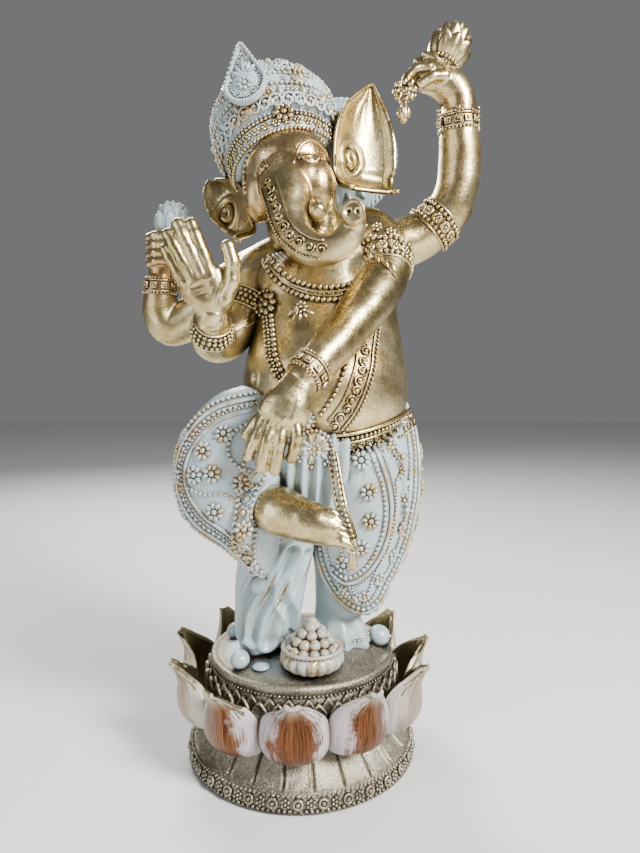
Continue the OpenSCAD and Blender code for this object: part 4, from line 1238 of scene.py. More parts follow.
def make_ears():
    def ripples(u, t, x, z):
        d = math.hypot((x + 2.6) * 1.25, (z + 0.6) * 0.95)
        rings_in = 1.25 * math.cos(d * 1.85) * bell(d, 8.4) ** 0.8
        rim = -1.5 * bell(abs(u) - 0.94, 0.15)
        lip = -6.2 * bell(t - 0.02, 0.15) * (0.4 + 0.6 * (u + 1) / 2) + 1.2 * bell(t - 0.24, 0.12)
        veins = 0.25 * math.sin(u * 15) * max(t - 0.55, 0) * 2
        return rings_in + rim + lip + veins

    ear = make_cup(LEFT_EAR, 90, 66, (18.6, -6, 200), math.radians(30), ripples, 1.5)
    finish_piece("left_ear_cupped", ear, gold, ["left_ear"], 1)
    ear = make_cup(RIGHT_EAR, 66, 50, (-22, -2, 184), math.radians(-39), ripples, 1.4)
    finish_piece("right_ear_cupped", ear, gold, ["right_ear"], 1)


# ---------------------------------------------------------------- crown

CROWN_C, CROWN_LEAN, CROWN_TILT = Vector((-5, -5.5, 198)), math.radians(15), math.radians(22)
CROWN_FRAME = (Matrix.Translation(CROWN_C) @ Matrix.Rotation(-CROWN_LEAN, 4, "Y")
               @ Matrix.Rotation(-CROWN_TILT, 4, "X"))
CROWN_LINE = [(15.6, -3.4), (17.2, -2.6), (17.9, -1.0), (18.1, 1.4), (18.3, 3.8), (19.8, 4.8), (20.4, 6.0),
              (20.6, 9.4),
              (21.0, 12.2), (20.9, 15.4), (20.3, 18.4), (19.0, 21.6), (17.2, 24.6), (14.6, 27.8),
              (11.4, 30.6),
              (7.6, 32.8), (3.8, 34.2), (0, 34.8)]


def crown_radius(height):
    """The crown's radius at a height in its own frame."""
    for (r0, z0), (r1, z1) in zip(CROWN_LINE[1:], CROWN_LINE[2:]):
        if height <= z1:
            return r0 + (r1 - r0) * (height - z0) / (z1 - z0)
    return 0.5


def on_crown(angle, height):
    """A place on the crown, its outward direction, and the way round, by angle from the front."""
    a = angle - math.pi / 2
    r = crown_radius(height)
    slope = (crown_radius(height + 0.6) - crown_radius(height - 0.6)) / 1.2
    spot = CROWN_FRAME @ Vector((r * math.cos(a), r * math.sin(a), height))
    out = (CROWN_FRAME.to_3x3() @ Vector((math.cos(a), math.sin(a), -slope))).normalized()
    way = (CROWN_FRAME.to_3x3() @ Vector((-math.sin(a), math.cos(a), 0))).normalized()
    return spot, out, way


def crown_row(stamps, template, height, count, size, lift=0.0, turn=0.0, start=0.0, vary=0.0):
    for i in range(count):
        spot, out, way = on_crown(start + TAU * i / count, height)
        grow = 1 + chance.uniform(-vary, vary)
        scale = tuple(s * grow for s in size) if isinstance(size, tuple) else size * grow
        stamps.press(template, spot, out, way, scale, lift, turn)


def make_crown():
    bm = turned(CROWN_LINE + [(0, 34.8)], 144, 3)
    for v in bm.verts:
        a = math.atan2(v.co.y, v.co.x) + math.pi / 2
        r = math.hypot(v.co.x, v.co.y)
        if v.co.z > 6 and r > 2:
            lobes = 0.5 * math.cos(a * 7) * math.sin(math.pi * min((v.co.z - 6) / 28, 1))
            v.co.x *= 1 + lobes / r
            v.co.y *= 1 + lobes / r
    bmesh.ops.recalc_face_normals(bm, faces=bm.faces)
    bmesh.ops.transform(bm, matrix=CROWN_FRAME, verts=bm.verts)
    push(bm, lambda co, n: 0.15 * noise.noise(co * 0.25))
    bmesh.ops.holes_fill(bm, edges=[e for e in bm.edges if e.is_boundary])
    bmesh.ops.recalc_face_normals(bm, faces=bm.faces)
    skins["crown"] = Skin(bm)
    finish_piece("crown_domed", bm, white, ["crown"])

    band = Stamps()
    crown_row(band, bead, -2.4, 84, 0.72, 0.2)
    crown_row(band, six_flower, -0.1, 34, (1.65, 1.65, 2.0), 0.2)
    crown_row(band, bead, 2.2, 84, 0.66, 0.25)
    spot, out, way = on_crown(0.16, 2.4)
    band.press(flower, spot, out, way, (3.4, 3.4, 3.2), 0.9)
    finish_piece("crown_brow_band", band.bm, jewel_gold)

    tiers = Stamps()
    for k in range(18):
        for side in (-1, 1):
            spot, out, way = on_crown(TAU * (k + 0.5) / 18 + side * 0.088, 5.6)
            tiers.press(curl if side > 0 else curl_back, spot, out, way * side, (2.6, 2.6, 2.6), 0.35,
                        -0.5 * side)
        spot, out, way = on_crown(TAU * k / 18, 8.8)
        tiers.press(flower, spot, out, way, (2.0, 2.0, 2.2), 0.3)
        spot, out, way = on_crown(TAU * (k + 0.5) / 18, 9.0)
        tiers.press(leaf, spot, out, out.cross(way), (2.2, 1.9, 1.8), 0.2, 0)
    crown_row(tiers, bead, 11.6, 84, 0.72, 0.25)
    crown_row(tiers, bead, 3.4, 84, 0.5, 0.2)
    finish_piece("crown_scroll_tier", tiers.bm, white_relief)

    upper = Stamps()
    crown_row(upper, big_bead, 13.6, 12, 1.15, 0.5)
    crown_row(upper, ring, 13.6, 12, (1.8, 1.8, 1.6), 0.2)
    crown_row(upper, curl, 13.6, 36, (1.2, 1.2, 1.4), 0.15, 0.8, 0.1)
    crown_row(upper, bead, 15.6, 80, 0.62, 0.25)
    crown_row(upper, six_flower, 18.2, 24, (2.1, 2.1, 2.2), 0.25)
    crown_row(upper, stud, 18.2, 24, (1.05, 1.25, 1.2), 0.2, 0, TAU / 48)
    crown_row(upper, bead, 20.8, 74, 0.62, 0.25)
    for k in range(16):
        spot, out, way = on_crown(TAU * k / 16, 24.6)
        upper.press(leaf, spot, out, out.cross(way), (4.4, 4.0, 1.6), 0.0)
        upper.press(flower, spot, out, way, (1.6, 1.6, 1.4), 0.7)
        spot, out, way = on_crown(TAU * (k + 0.5) / 16, 23.4)
        upper.press(curl, spot, out, way, (1.5, 1.5, 1.6), 0.25, 0.4)
        spot, out, way = on_crown(TAU * (k + 0.5) / 16, 27.0)
        upper.press(bead, spot, out, way, 1.0, 0.3)
    crown_row(upper, bead, 29.2, 44, 0.6, 0.2)
    crown_row(upper, leaf, 31.2, 10, (2.4, 2.6, 1.2), 0.0, math.pi / 2)
    crown_row(upper, bead, 33.2, 16, 0.7, 0.2)
    top, out = CROWN_FRAME @ Vector((0, 0, 34.7)), CROWN_FRAME.to_3x3() @ UP
    upper.press(flower, top, out, way, (3.8, 3.8, 2.4), 0.1)
    finish_piece("crown_filigree", upper.bm, white_relief)


PLAQUE_FRAME = (Matrix.Translation((-14.4, -24, 208)) @ Matrix.Rotation(math.radians(-12), 4, "Z")
                @ Matrix.Rotation(math.radians(-12), 4, "Y") @ Matrix.Rotation(math.radians(-16), 4, "X")
                @ Matrix.Rotation(math.pi / 2, 4, "X"))


def teardrop(t, grow=1.0):
    """The plaque's outline: a round foot drawn up to a point."""
    a = TAU * t - math.pi / 2
    x, y = 6.7 * math.cos(a), 7.3 * math.sin(a)
    if y > 0:
        lift = y / 7.3
        x *= 1 - 0.55 * lift ** 1.6
        y += 7.4 * lift ** 2.2
    return Vector((x * grow, 8 + y * grow, 0))


def plaque_place(t, grow, lift):
    place = teardrop(t, grow)
    return Vector((place.x, place.y, lift))


def make_plaque():
    bm = bmesh.new()
    steps = 72
    loops = []
    for grow, lift in ((0.96, 0), (1.0, 0.4), (1.0, 1.6), (0.97, 2.0), (0.84, 2.0), (0.80, 1.3), (0.66, 1.3),
                       (0.62, 1.7), (0.2, 1.9)):
        loops.append([bm.verts.new(plaque_place(t / steps, grow, lift)) for t in range(steps)])
    for lower, upper in zip(loops, loops[1:]):
        for k in range(steps):
            bm.faces.new((lower[k], lower[(k + 1) % steps], upper[(k + 1) % steps], upper[k]))
    bm.faces.new(loops[0])
    bm.faces.new(loops[-1])
    bmesh.ops.triangulate(bm, faces=[f for f in bm.faces if len(f.verts) > 4])
    bmesh.ops.transform(bm, matrix=PLAQUE_FRAME, verts=bm.verts)
    finish_piece("crown_plaque_teardrop", bm, white, ["crown_plaque"])
    trim = Stamps()
    turn3 = PLAQUE_FRAME.to_3x3()
    out = (turn3 @ UP).normalized()

    def spot(v, lift):
        return PLAQUE_FRAME @ Vector((v.x, v.y, lift))

    for grow, count, size, lift in ((0.93, 46, 0.62, 1.9), (0.7, 34, 0.42, 1.5)):
        for i in range(count):
            trim.press(fine_bead, spot(teardrop(i / count, grow), lift), out, turn3 @ ACROSS, size)
    trim.press(flower, spot(Vector((0, 7.2, 0)), 1.9), out, turn3 @ ACROSS, (2.6, 2.6, 2.4))
    for k in range(5):
        a = math.radians(-60 + 30 * k)
        trim.press(leaf, spot(Vector((3.2 * math.sin(a), 10.4 + 2.6 * math.cos(a), 0)), 1.8), out,
                   turn3 @ Vector((math.sin(a), math.cos(a), 0)), (1.9, 1.3, 1.2))
    for side in (-1, 1):
        scroll = curl if side > 0 else curl_back
        trim.press(scroll, spot(Vector((2.6 * side, 4.0, 0)), 1.9), out, turn3 @ Vector((side, 0, 0)), 1.5)
        trim.press(scroll, spot(Vector((1.7 * side, 15.6, 0)), 1.8), out, turn3 @ Vector((side, 0, 0)), 1.1)
    finish_piece("plaque_relief", trim.bm, white)


def make_halo():
    centre = Vector((12.4, 13.5, 206.5))
    turn = (Matrix.Translation(centre) @ Matrix.Rotation(math.radians(-10), 4, "Z")
            @ Matrix.Rotation(math.pi / 2, 4, "X"))
    bm = bmesh.new()
    bmesh.ops.create_cone(bm, cap_ends=True, segments=96, radius1=20.3, radius2=20.3, depth=2.6)
    for thickness, depth in ((2.2, -0.5), (7.0, 0.7), (2.0, -0.6)):
        caps = [f for f in bm.faces if len(f.verts) > 4]
        bmesh.ops.inset_individual(bm, faces=caps, thickness=thickness, depth=depth)
    bmesh.ops.triangulate(bm, faces=[f for f in bm.faces if len(f.verts) > 4])
    bmesh.ops.transform(bm, matrix=turn, verts=bm.verts)
    finish_piece("crown_halo_disc", bm, white, ["crown_halo"])
    rope = Stamps()
    turn3 = turn.to_3x3()
    for strand in (0, math.pi):
        places = []
        for a, d in around(300):
            twist = a * 34 + strand
            p = turn @ (d * (20.2 + 0.75 * math.cos(twist)) + UP * (0.75 * math.sin(twist)))
            places.append((p, (p - centre).normalized(), None))
        rope.cord(places, 0.78, 5, 0, True)
    for side in (-1, 1):
        out = turn3 @ (UP * side)
        for _, d in around(20):
            rope.press(leaf, turn @ (d * 15.0 + UP * (1.3 * side)), out, turn3 @ d, (3.0, 2.2, 1.6))
            rope.press(bead, turn @ (d * 9.2 + UP * (1.5 * side)), out, turn3 @ UP.cross(d), 0.7)
        rope.press(flower, turn @ (UP * (1.2 * side)), out, turn3 @ ACROSS, (6, 6, 4))
    finish_piece("halo_rope_edge", rope.bm, white)


# ---------------------------------------------------------------- lotus buds

def make_bud(node, centre, turn, radius, finish, count):
    """Rings of pointed petals folded up round a core, with a beaded collar below."""
    bud = Matrix.Translation(centre) @ Matrix.Rotation(turn, 4, "Y")
    bm = bmesh.new()
    add_egg(bm, (0, 0, radius * 0.1), (radius * 0.72, radius * 0.72, radius * 0.86), 0, 24, 16)
    bmesh.ops.transform(bm, matrix=bud, verts=bm.verts)
    for tier, (reach, tall, lean, size) in enumerate(((0.50, 0.22, 0.02, 1.0), (0.68, 0.06, 0.16, 0.95),
                                                      (0.84, -0.22, 0.34, 0.78))):
        for a, _ in around(count, math.pi * tier / count):
            m = (Matrix.Rotation(a, 4, "Z") @ Matrix.Translation((radius * reach * 0.72, 0, radius * tall))
                 @ Matrix.Rotation(lean, 4, "Y")
                 @ Matrix.Diagonal((radius * 0.24, radius * 0.44, radius * 0.86 * size, 1)))
            made = bmesh.ops.create_uvsphere(bm, u_segments=16, v_segments=14, radius=1)
            for v in made["verts"]:
                t = v.co.z
                v.co.y *= 1 - 0.35 * max(t, 0) ** 3
                pleats = 0.16 * math.cos(v.co.y * 14) if v.co.x > 0 else 0
                v.co.x += pleats * (1 - t * t) + 0.5 * bell(v.co.y, 0.3) * (v.co.x > 0) * (1 - t * t)
                v.co.x += 0.5 * t * t * (t > 0)
            bmesh.ops.transform(bm, matrix=bud @ m, verts=made["verts"])
    finish_piece(node + "_petals", bm, finish, [node])
    collar = Stamps()
    for height, r, size, total in ((-0.74, 0.72, 0.72, 24), (-0.92, 0.62, 0.6, 22)):
        for _, out in around(total):
            spot = bud @ (out * (radius * r) + UP * (radius * height))
            collar.press(bead, spot, bud.to_3x3() @ out, bud.to_3x3() @ UP, size)
    stations = [(*(bud @ (UP * (radius * z))), radius * r) for z, r in
                ((-1.15, 0.4), (-0.95, 0.6), (-0.7, 0.7), (-0.5, 0.6))]
    add_limb(collar.bm, stations, 24, 3)
    finish_piece(node + "_collar", collar.bm, finish)


# ---------------------------------------------------------------- bands on the limbs

def make_band(name, stands_for, skin_key, centre, axis, rows, finish=jewel_gold):
    """A band of ornaments round a limb, in rows as for Stamps.rows."""
    stamps = Stamps()
    stamps.rows(lambda shift: round_limb(skins[skin_key], centre, axis, shift), rows, True)
    finish_piece(name, stamps.bm, finish, stands_for)


def make_bands():
    wrist = ((-1.9, None, 0.7, 0.42, 0.25), (1.9, None, 0.7, 0.42, 0.25),
             (0, stud, 3.3, (1.35, 1.35, 1.0), 0.35),
             (-2.6, fine_bead, 1.15, 0.5, 0.3), (2.6, fine_bead, 1.15, 0.5, 0.3))
    cuff = ((-1.6, bead, 1.5, 0.72, 0.3), (0, bead, 1.6, 0.8, 0.35), (1.6, bead, 1.5, 0.72, 0.3),
            (-2.8, None, 0.8, 0.4, 0.2), (2.8, None, 0.8, 0.4, 0.2))
    armlet = ((-2.6, bead, 1.7, 0.85, 0.3), (2.6, bead, 1.7, 0.85, 0.3),
              (0, six_flower, 4.0, (1.9, 1.9, 1.9), 0.3),
              (0, ring, 4.0, (2.1, 2.1, 1.3), 0.2), (-3.8, None, 0.8, 0.45, 0.2), (3.8, None, 0.8, 0.45, 0.2))
    for limb, band, look, centre, axis, rows in (
            ("front_left", "bracelet", "studs", (3.2, -39.4, 129.8), (-0.6, -0.48, -0.64), wrist),
            ("rear_left", "bracelet", "studs", (52.8, 0.8, 213.6), (-0.08, -0.08, 1), wrist),
            ("rear_right", "bracelet", "studs", (-49.8, 8.8, 161), (0.05, -0.05, 1), wrist),
            ("front_right", "bracelet", "beads", (-26.4, -22.2, 143.2), (0.3, -0.8, 0.55), cuff),
            ("front_left", "armlet", "flowers", (27.2, -11.6, 165.4), (-0.05, -0.5, -0.86), armlet),
            ("rear_left", "armlet", "flowers", (46.2, 4.6, 181.6), (0.74, -0.08, 0.67), armlet),
            ("rear_right", "armlet", "beads", (-30, 10.4, 157.4), (-0.8, 0.1, -0.6), cuff),
            ("front_right", "armlet", "beads", (-18, -5.6, 152.6), (-0.35, -0.3, -0.9), cuff)):
        node = limb + "_" + band
        # The two beaded armlets have no CAD solid of their own.
        stands_for = [node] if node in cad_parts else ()
        make_band(node + "_" + look, stands_for, limb, centre, axis, rows)
    hem = ((0, curl, 3.9, (2.0, 2.0, 2.2), 0.35, 0.5), (0, bead, 3.9, 0.8, 0.5),
           (-2.4, bead, 1.7, 0.78, 0.35),
           (2.2, bead, 1.7, 0.72, 0.2))
    make_band("ankle_hem_scrolls", ["ankle_cuff"], "knee", (-11.2, -28.0, 86.8), (0.9, -0.45, -0.1), hem,
              white_relief)


# ---------------------------------------------------------------- jewellery on the body

def belt_line(shift):
    """A line round the waist that sags below the belly, on the torso or the cloth over it."""
    out = []
    for _, d in around(96):
        centre = Vector((8.6, -4.4, 116.6 + shift - 7.5 * max(0, -d.y) ** 1.6))
        place = skins["torso"].tree.ray_cast(centre, d)[0]
        cloth = skins["hip"].tree.ray_cast(centre + d * 60, -d)[0]
        if cloth is not None and (cloth - centre).dot(d) > (place - centre).dot(d):
            place = cloth
        out.append((place, d))
    return out


def make_belt():
    stamps = Stamps()
    stamps.rows(belt_line, ((1.9, None, 0.9, 0.62, 0.5), (0.4, bead, 1.5, 0.78, 0.55),
                            (-0.9, None, 0.9, 0.5, 0.5),
                            (-2.4, curl, 3.0, (1.3, 1.3, 1.4), 0.45, math.pi / 2),
                            (-3.9, fine_bead, 1.5, 0.62, 0.4)), True)
    finish_piece("waist_belt_scrolled", stamps.bm, jewel_gold, ["waist_belt"])


def make_medallion():
    centre, out = Vector((4.6, -32.2, 107.4)), Vector((-0.05, -1, 0.08))
    stamps = Stamps()
    stamps.circle(bead, 26, centre, 5.4, out, ACROSS, 0.62)
    for a, _ in around(10):
        d = Vector((math.cos(a), 0, math.sin(a)))
        stamps.press(leaf, centre + d * 3.2, out, d, (2.0, 1.5, 1.7), 0.1)
    stamps.press(flower, centre, out, ACROSS, (2.2, 2.2, 2.6), 0.3)
    back = bmesh.new()
    add_egg(back, centre + Vector((0, 1.0, 0)), (5.2, 1.6, 5.2), 0, 28, 14)
    add_egg(back, centre + Vector((-3.2, 1.4, 8.0)), (3.1, 1.4, 3.1), 0, 22, 12)
    stamps.bm.from_mesh(as_template(back, "medallion_back"))
    small = centre + Vector((-3.2, 0.6, 8.0))
    stamps.press(flower, small, out, ACROSS, (3.0, 3.0, 2.6), 0.1)
    stamps.circle(fine_bead, 16, small, 3.2, out, ACROSS, 0.5)
    finish_piece("belt_medallion_flower", stamps.bm, white_relief, ["belt_medallion"])


SASH = [(9.8, -31.6, 106.4), (11, -33.4, 100), (12.4, -35.8, 92), (14, -39.2, 87), (15.4, -43.6, 83)]


def make_sash():
    stamps = Stamps()
    line = [(Vector(p), Vector((0.25, -0.9, 0.25)).normalized()) for p in curve_through(SASH, 10)]
    stamps.row(bead, spaced(line, 1.7), (0.85, 0.95, 0.8), 0.9)
    for side in (-1, 1):
        stamps.cord(spaced([(p + Vector((1.3 * side, 0.35, 0)), n) for p, n in line], 0.8), 0.55, 7)
    x, y, z = SASH[-1]
    stamps.press(ring, Vector((x, y - 0.2, z - 2)), Vector((0.3, -1, 0)), ACROSS, (1.9, 1.9, 1.8))
    add_limb(stamps.bm, [(x, y, z - 3.4, 0.9), (x + 0.1, y + 0.2, z - 5.2, 1.25),
                         (x + 0.2, y + 0.4, z - 7.2, 1.5)],
             16, 3)
    finish_piece("sash_cord_beaded", stamps.bm, jewel_gold, ["sash_cord"])


def make_necklaces():
    stamps = Stamps()
    torso = skins["torso"]
    upper = [(-11, 170), (-8, 163.6), (-2, 158.6), (6, 156), (14, 156.6), (21, 160.4)]
    lower = [(-12, 167), (-8.6, 160), (-2.4, 154.8), (6, 152), (15, 152.6), (23, 156.6)]
    middle = [((a + c) / 2, (b + d) / 2) for (a, b), (c, d) in zip(upper, lower)]
    for line, row in ((upper, (0, bead, 1.75, 0.95, 0.5)), (lower, (0, bead, 1.75, 0.95, 0.5)),
                      (middle, (0, curl, 2.7, (1.3, 1.3, 1.6), 0.3, 0.4)),
                      (upper, (1.4, None, 0.9, 0.5, 0.3)), (lower, (-1.4, None, 0.9, 0.5, 0.3))):
        stamps.rows(beside(torso, line), [row])
    finish_piece("necklace_rows", stamps.bm, jewel_gold, ["collar"])

    collar = Stamps()
    for k in range(4):
        line = shifted([(-11.4, 170), (-10.4, 167), (-8.8, 164.2), (-7, 162.4)], -1.9 - 1.25 * k)
        collar.cord(sink_ends(spaced(over_front(torso, line), 0.8), 1), 0.68, 8, 0.15)
    finish_piece("collar_ribs", collar.bm, white_relief)


def make_pendant():
    stamps = Stamps()
    torso = skins["torso"]
    for side in (-1, 1):
        points = [(-9.6 + 1.15 * side, 147.4), (-8.8 + 1.2 * side, 141), (-7.8 + 1.3 * side, 134),
                  (-4.6 + 1.3 * side, 127.6)]
        stamps.rows(beside(torso, points), [(0, bead, 1.8, 0.95, 0.6)])
    middle = [(-9.6, 147), (-8.8, 141), (-7.8, 134), (-4.6, 127.6)]
    stamps.rows(beside(torso, middle), [(0, fine_bead, 1.2, 0.6, 0.9)])
    centre, out = torso.front(-9.4, 151.4)
    stamps.press(flower, centre, out, ACROSS, (4.0, 4.0, 4.0), 1.3)
    stamps.circle(fine_bead, 20, centre + out * 0.9, 4.2, out, ACROSS, 0.62)
    plate, facing = torso.front(0.6, 149.6)
    for k in range(5):
        a = math.radians(-150 + 30 * k)
        d = Vector((math.cos(a), 0, math.sin(a)))
        stamps.press(leaf, plate + d * 2.6, facing, d, (2.6, 1.8, 2.0), 0.4)
    stamps.press(flower, plate, facing, ACROSS, (2.4, 2.4, 2.6), 0.6)
    finish_piece("pendant_and_chain", stamps.bm, jewel_gold, ["pendant_chain"])


def scrolls(stamps, places, size, lift, turn):
    """Scrolls wound one way and the other by turns."""
    for k, (p, n, d) in enumerate(places):
        stamps.press(curl if k % 2 else curl_back, p, n, d, size, lift, turn)


def make_garland():
    stamps = Stamps()
    main = [(21.4, 150), (21, 144), (20, 137.6), (19.2, 131.6), (17.2, 125), (14.6, 119.4), (10.6, 114)]
    inner = [(15.6, 148), (15.4, 140), (13.8, 131.6), (10.8, 124), (6.6, 117.6)]
    places = spaced(over_front(skins["torso"], main), 3.0)
    scrolls(stamps, places, (1.9, 1.9, 2.4), 0.45, 0.3)
    for p, n, d in places:
        stamps.press(bead, p, n, d, 0.75, 0.6)
    stamps.rows(beside(skins["torso"], main), ((-2.4, None, 0.9, 0.5, 0.25), (2.4, None, 0.9, 0.5, 0.25),
                                               (-3.5, fine_bead, 1.4, 0.6, 0.3)))
    stamps.rows(beside(skins["torso"], inner), [(0, bead, 1.7, 0.85, 0.45)])
    finish_piece("belly_garland_scrolls", stamps.bm, jewel_gold, ["belly_garland"])


def make_prayer_beads():
    stamps = Stamps()
    for k in range(5):
        stamps.press(bead, Vector((35.6 - 0.5 * k, -7.4, 222.6 - 1.5 * k)), FORWARD, ACROSS, 1.0)
    add_limb(stamps.bm, [(33.6, -7.4, 216.6, 0.8), (33.5, -7.4, 215.2, 1.5), (33.4, -7.4, 213, 1.8),
                         (33.4, -7.4, 211.4, 1.3)], 16, 3)
    for _, out in around(7):
        stamps.press(leaf, Vector((33.4, -7.4, 213.6)) + out * 1.6, out, -UP, (2.0, 1.0, 1.1))
    finish_piece("prayer_beads_strand", stamps.bm, jewel_gold, ["prayer_beads"])

    rosette = Stamps()
    p, n = Vector((34, -6, 221)), Vector((-0.35, -1, 0))
    rosette.press(flower, p, n, UP, (4.2, 4.2, 3.4), 0.8)
    rosette.circle(fine_bead, 14, p + FORWARD * 0.6, 3.4, n, UP, 0.62)
    finish_piece("held_rosette", rosette.bm, jewel_gold)

    drops = Stamps()
    for x, y, top, count in ((45.6, -2.6, 216.4, 4), (58.6, -2.4, 217.4, 6), (51, -7.4, 215.6, 3)):
        for k in range(count):
            size = 0.72 + 0.2 * (k == count - 1)
            drops.press(bead, Vector((x, y, top - 1.35 * k)), FORWARD, ACROSS, size)
    finish_piece("wrist_bead_drops", drops.bm, jewel_gold)


# ---------------------------------------------------------------- ornaments on the clothing

HIP_EDGE = [(37.6, 112), (38.2, 102), (38, 91), (36.2, 80), (33.4, 70), (29.8, 62), (26.6, 55.6), (22.4, 52),
            (17.6, 52.4), (12.6, 56), (8.4, 62), (5.6, 69.6), (4.8, 76)]
HIP_RIDGE = [(23, 107), (27, 97), (28.6, 87), (27.2, 77), (22.6, 67.6), (15.4, 62.6), (10, 65.6)]
HIP_BORDER = [(32.6, 104), (34, 95), (34, 86), (32.4, 77), (29, 68.6), (24, 61), (18, 57)]
HIP_FLOWERS = ((18.6, 103.6), (21.4, 93.4), (22.2, 84), (19.2, 75.2), (14, 69))
HIP_BORDER_FLOWERS = ((29, 108), (31.6, 99), (33, 90), (32.6, 81), (30, 72), (25.8, 64), (20.6, 58), (14, 59))
KNEE_EDGE = [(-13, 122), (-24.4, 119), (-32, 112.4), (-36.4, 103), (-35.4, 93), (-30, 85), (-22, 79.6),
             (-17, 74.6), (-12, 70)]
KNEE_INNER = [(-14, 118.6), (-23, 115.6), (-29.4, 109.8), (-33, 102), (-32.2, 94.6), (-27.4, 88),
              (-20.4, 83), (-14.6, 78.4)]
KNEE_SWIRL = [(-13, 116), (-18.6, 112.4), (-20, 107), (-17.6, 103), (-12.6, 101)]
KNEE_CREASE = [(-32, 96), (-27, 94.6), (-21, 94.8), (-15.6, 91)]
KNEE_FLOWERS = ((-21.6, 112), (-27.4, 107), (-24.6, 100.6), (-16.4, 97.6), (-24, 89.6), (-15.4, 85),
                (-30, 100))


def flowers_on(stamps, skin, places, size, template):
    """A flower at each (x, z) place, each turned its own way."""
    for x, z in places:
        p, n = skin.front(x, z)
        stamps.press(template, p, n, ACROSS, (size, size, size * 1.1), 0.2, chance.uniform(0, 1))


def make_back_rows(name, key, centre, angles, rows, drop):
    """Rows of flowers round the back of a cloth, (height, gap) each, with beads below every row."""
    stamps = Stamps()
    ways = [Vector((math.cos(a), math.sin(a), 0)) for a in map(math.radians, range(*angles, 6))]
    for z, gap in rows:
        for height, template, size, apart in ((z, flower, (2.9, 2.9, 2.4), gap),
                                              (z - drop, fine_bead, 0.55, 1.5)):
            line = [skins[key].out((*centre, height), way) for way in ways]
            stamps.row(template, spaced(line, apart), size, 0.25)
    finish_piece(name, stamps.bm, white_relief)


def make_hip_ornaments():
    skin = skins["hip"]
    stamps = Stamps()
    stamps.rows(beside(skin, HIP_EDGE), ((0, None, 0.9, 0.75, 0.25), (1.7, bead, 1.7, 0.78, 0.35),
                                         (-1.0, curl, 3.0, (1.35, 1.35, 1.3), 0.2, math.pi / 2)))
    stamps.rows(beside(skin, HIP_RIDGE), ((0, None, 0.9, 0.7, 0.25), (1.9, bead, 1.7, 0.78, 0.3),
                                          (-1.5, fine_bead, 1.2, 0.5, 0.25)))
    flowers_on(stamps, skin, HIP_BORDER_FLOWERS, 2.3, six_flower)
    stamps.rows(beside(skin, HIP_EDGE),
                ((3.6, fine_bead, 1.3, 0.6, 0.25), (-3.0, fine_bead, 1.3, 0.55, 0.25)))
    stamps.rows(beside(skin, HIP_BORDER), [(0, leaf, 9.0, (1.9, 1.6, 1.6), 0.2, math.pi / 2)])
    flowers_on(stamps, skin, HIP_FLOWERS, 3.1, flower)
    for k in (0, 2, 3, 4):
        x = 12 + 4.4 * k
        line = over_front(skin, [(x, 108 + 0.3 * k), (x + 1.2, 103 + 0.5 * k), (x + 2.0, 98.5)])
        stamps.row(leaf, spaced(line, 4.2)[:2], (1.8, 1.4, 1.3), 0.15)
    finish_piece("hip_cloth_relief", stamps.bm, white_relief)
    make_back_rows("hip_cloth_back_relief", "hip", (20, -3), (-8, 189),
                   ((104, 9.0), (92, 9.6), (80, 9.0), (68, 8.0)), 6)


def make_knee_ornaments():
    skin = skins["knee"]
    stamps = Stamps()
    stamps.rows(beside(skin, KNEE_EDGE), ((0, None, 0.9, 0.75, 0.25), (1.6, bead, 1.7, 0.8, 0.35),
                                          (-1.4, bead, 1.7, 0.7, 0.3)))
    stamps.rows(beside(skin, KNEE_INNER), ((0, None, 0.8, 0.5, 0.2), (1.3, fine_bead, 1.2, 0.5, 0.25)))
    flowers_on(stamps, skin, KNEE_FLOWERS, 3.0, flower)
    stamps.rows(beside(skin, KNEE_SWIRL), [(0, bead, 1.6, 0.72, 0.3)])
    stamps.rows(beside(skin, KNEE_CREASE), [(0, bead, 1.6, 0.6, 0.25)])
    finish_piece("knee_cloth_relief", stamps.bm, white_relief)
    make_back_rows("knee_cloth_back_relief", "knee", (-18, -17), (60, 216),
                   ((110, 8.6), (99, 8.6), (88, 8.6)), 5.2)


def make_trunk_relief():
    skin = skins["head"]
    stamps = Stamps()
    path = [(-8.6, 184.6), (-6.6, 178), (-4.8, 172.4), (-2, 167.8), (2.2, 164.4), (6.8, 163)]
    scrolls(stamps, spaced(over_front(skin, path), 3.4), (1.85, 1.85, 2.6), 0.25, 0.5)
    stamps.rows(beside(skin, path), ((-2.4, None, 0.8, 0.5, 0.15), (2.4, fine_bead, 1.15, 0.5, 0.2)))
    forehead = [(-16.4, 185), (-16.8, 193), (-13, 199.4), (-8.4, 203), (-2, 205), (4, 203.6), (8.4, 200)]
    stamps.rows(beside(skin, forehead), [(0, bead, 1.7, 0.75, 0.2)])
    finish_piece("trunk_and_brow_relief", stamps.bm, gold)


def make_shoulder_relief():
    """Leaves and flowers over the shoulder between the trunk's tip and the armlet."""
    stamps = Stamps()
    skin = skins["front_left"]
    for k in range(7):
        p, n = skin.front(16.5 + 1.9 * k, 168.4 - 0.2 * k * k)
        stamps.press(leaf, p, n, Vector((0.3, 0, -1)), (3.2, 2.0, 2.0), 0.2)
    lower = [(14.6, 172.4), (20, 172.8), (26, 171.6), (31, 168.4)]
    upper = [(15.4, 175.4), (21, 176), (27, 174.4), (32, 171)]
    stamps.rows(beside(skin, lower), [(0, bead, 1.8, 0.85, 0.3)])
    stamps.rows(beside(skin, upper), [(0, six_flower, 4.2, (2.0, 2.0, 2.0), 0.25)])
    finish_piece("shoulder_leaf_relief", stamps.bm, jewel_gold)


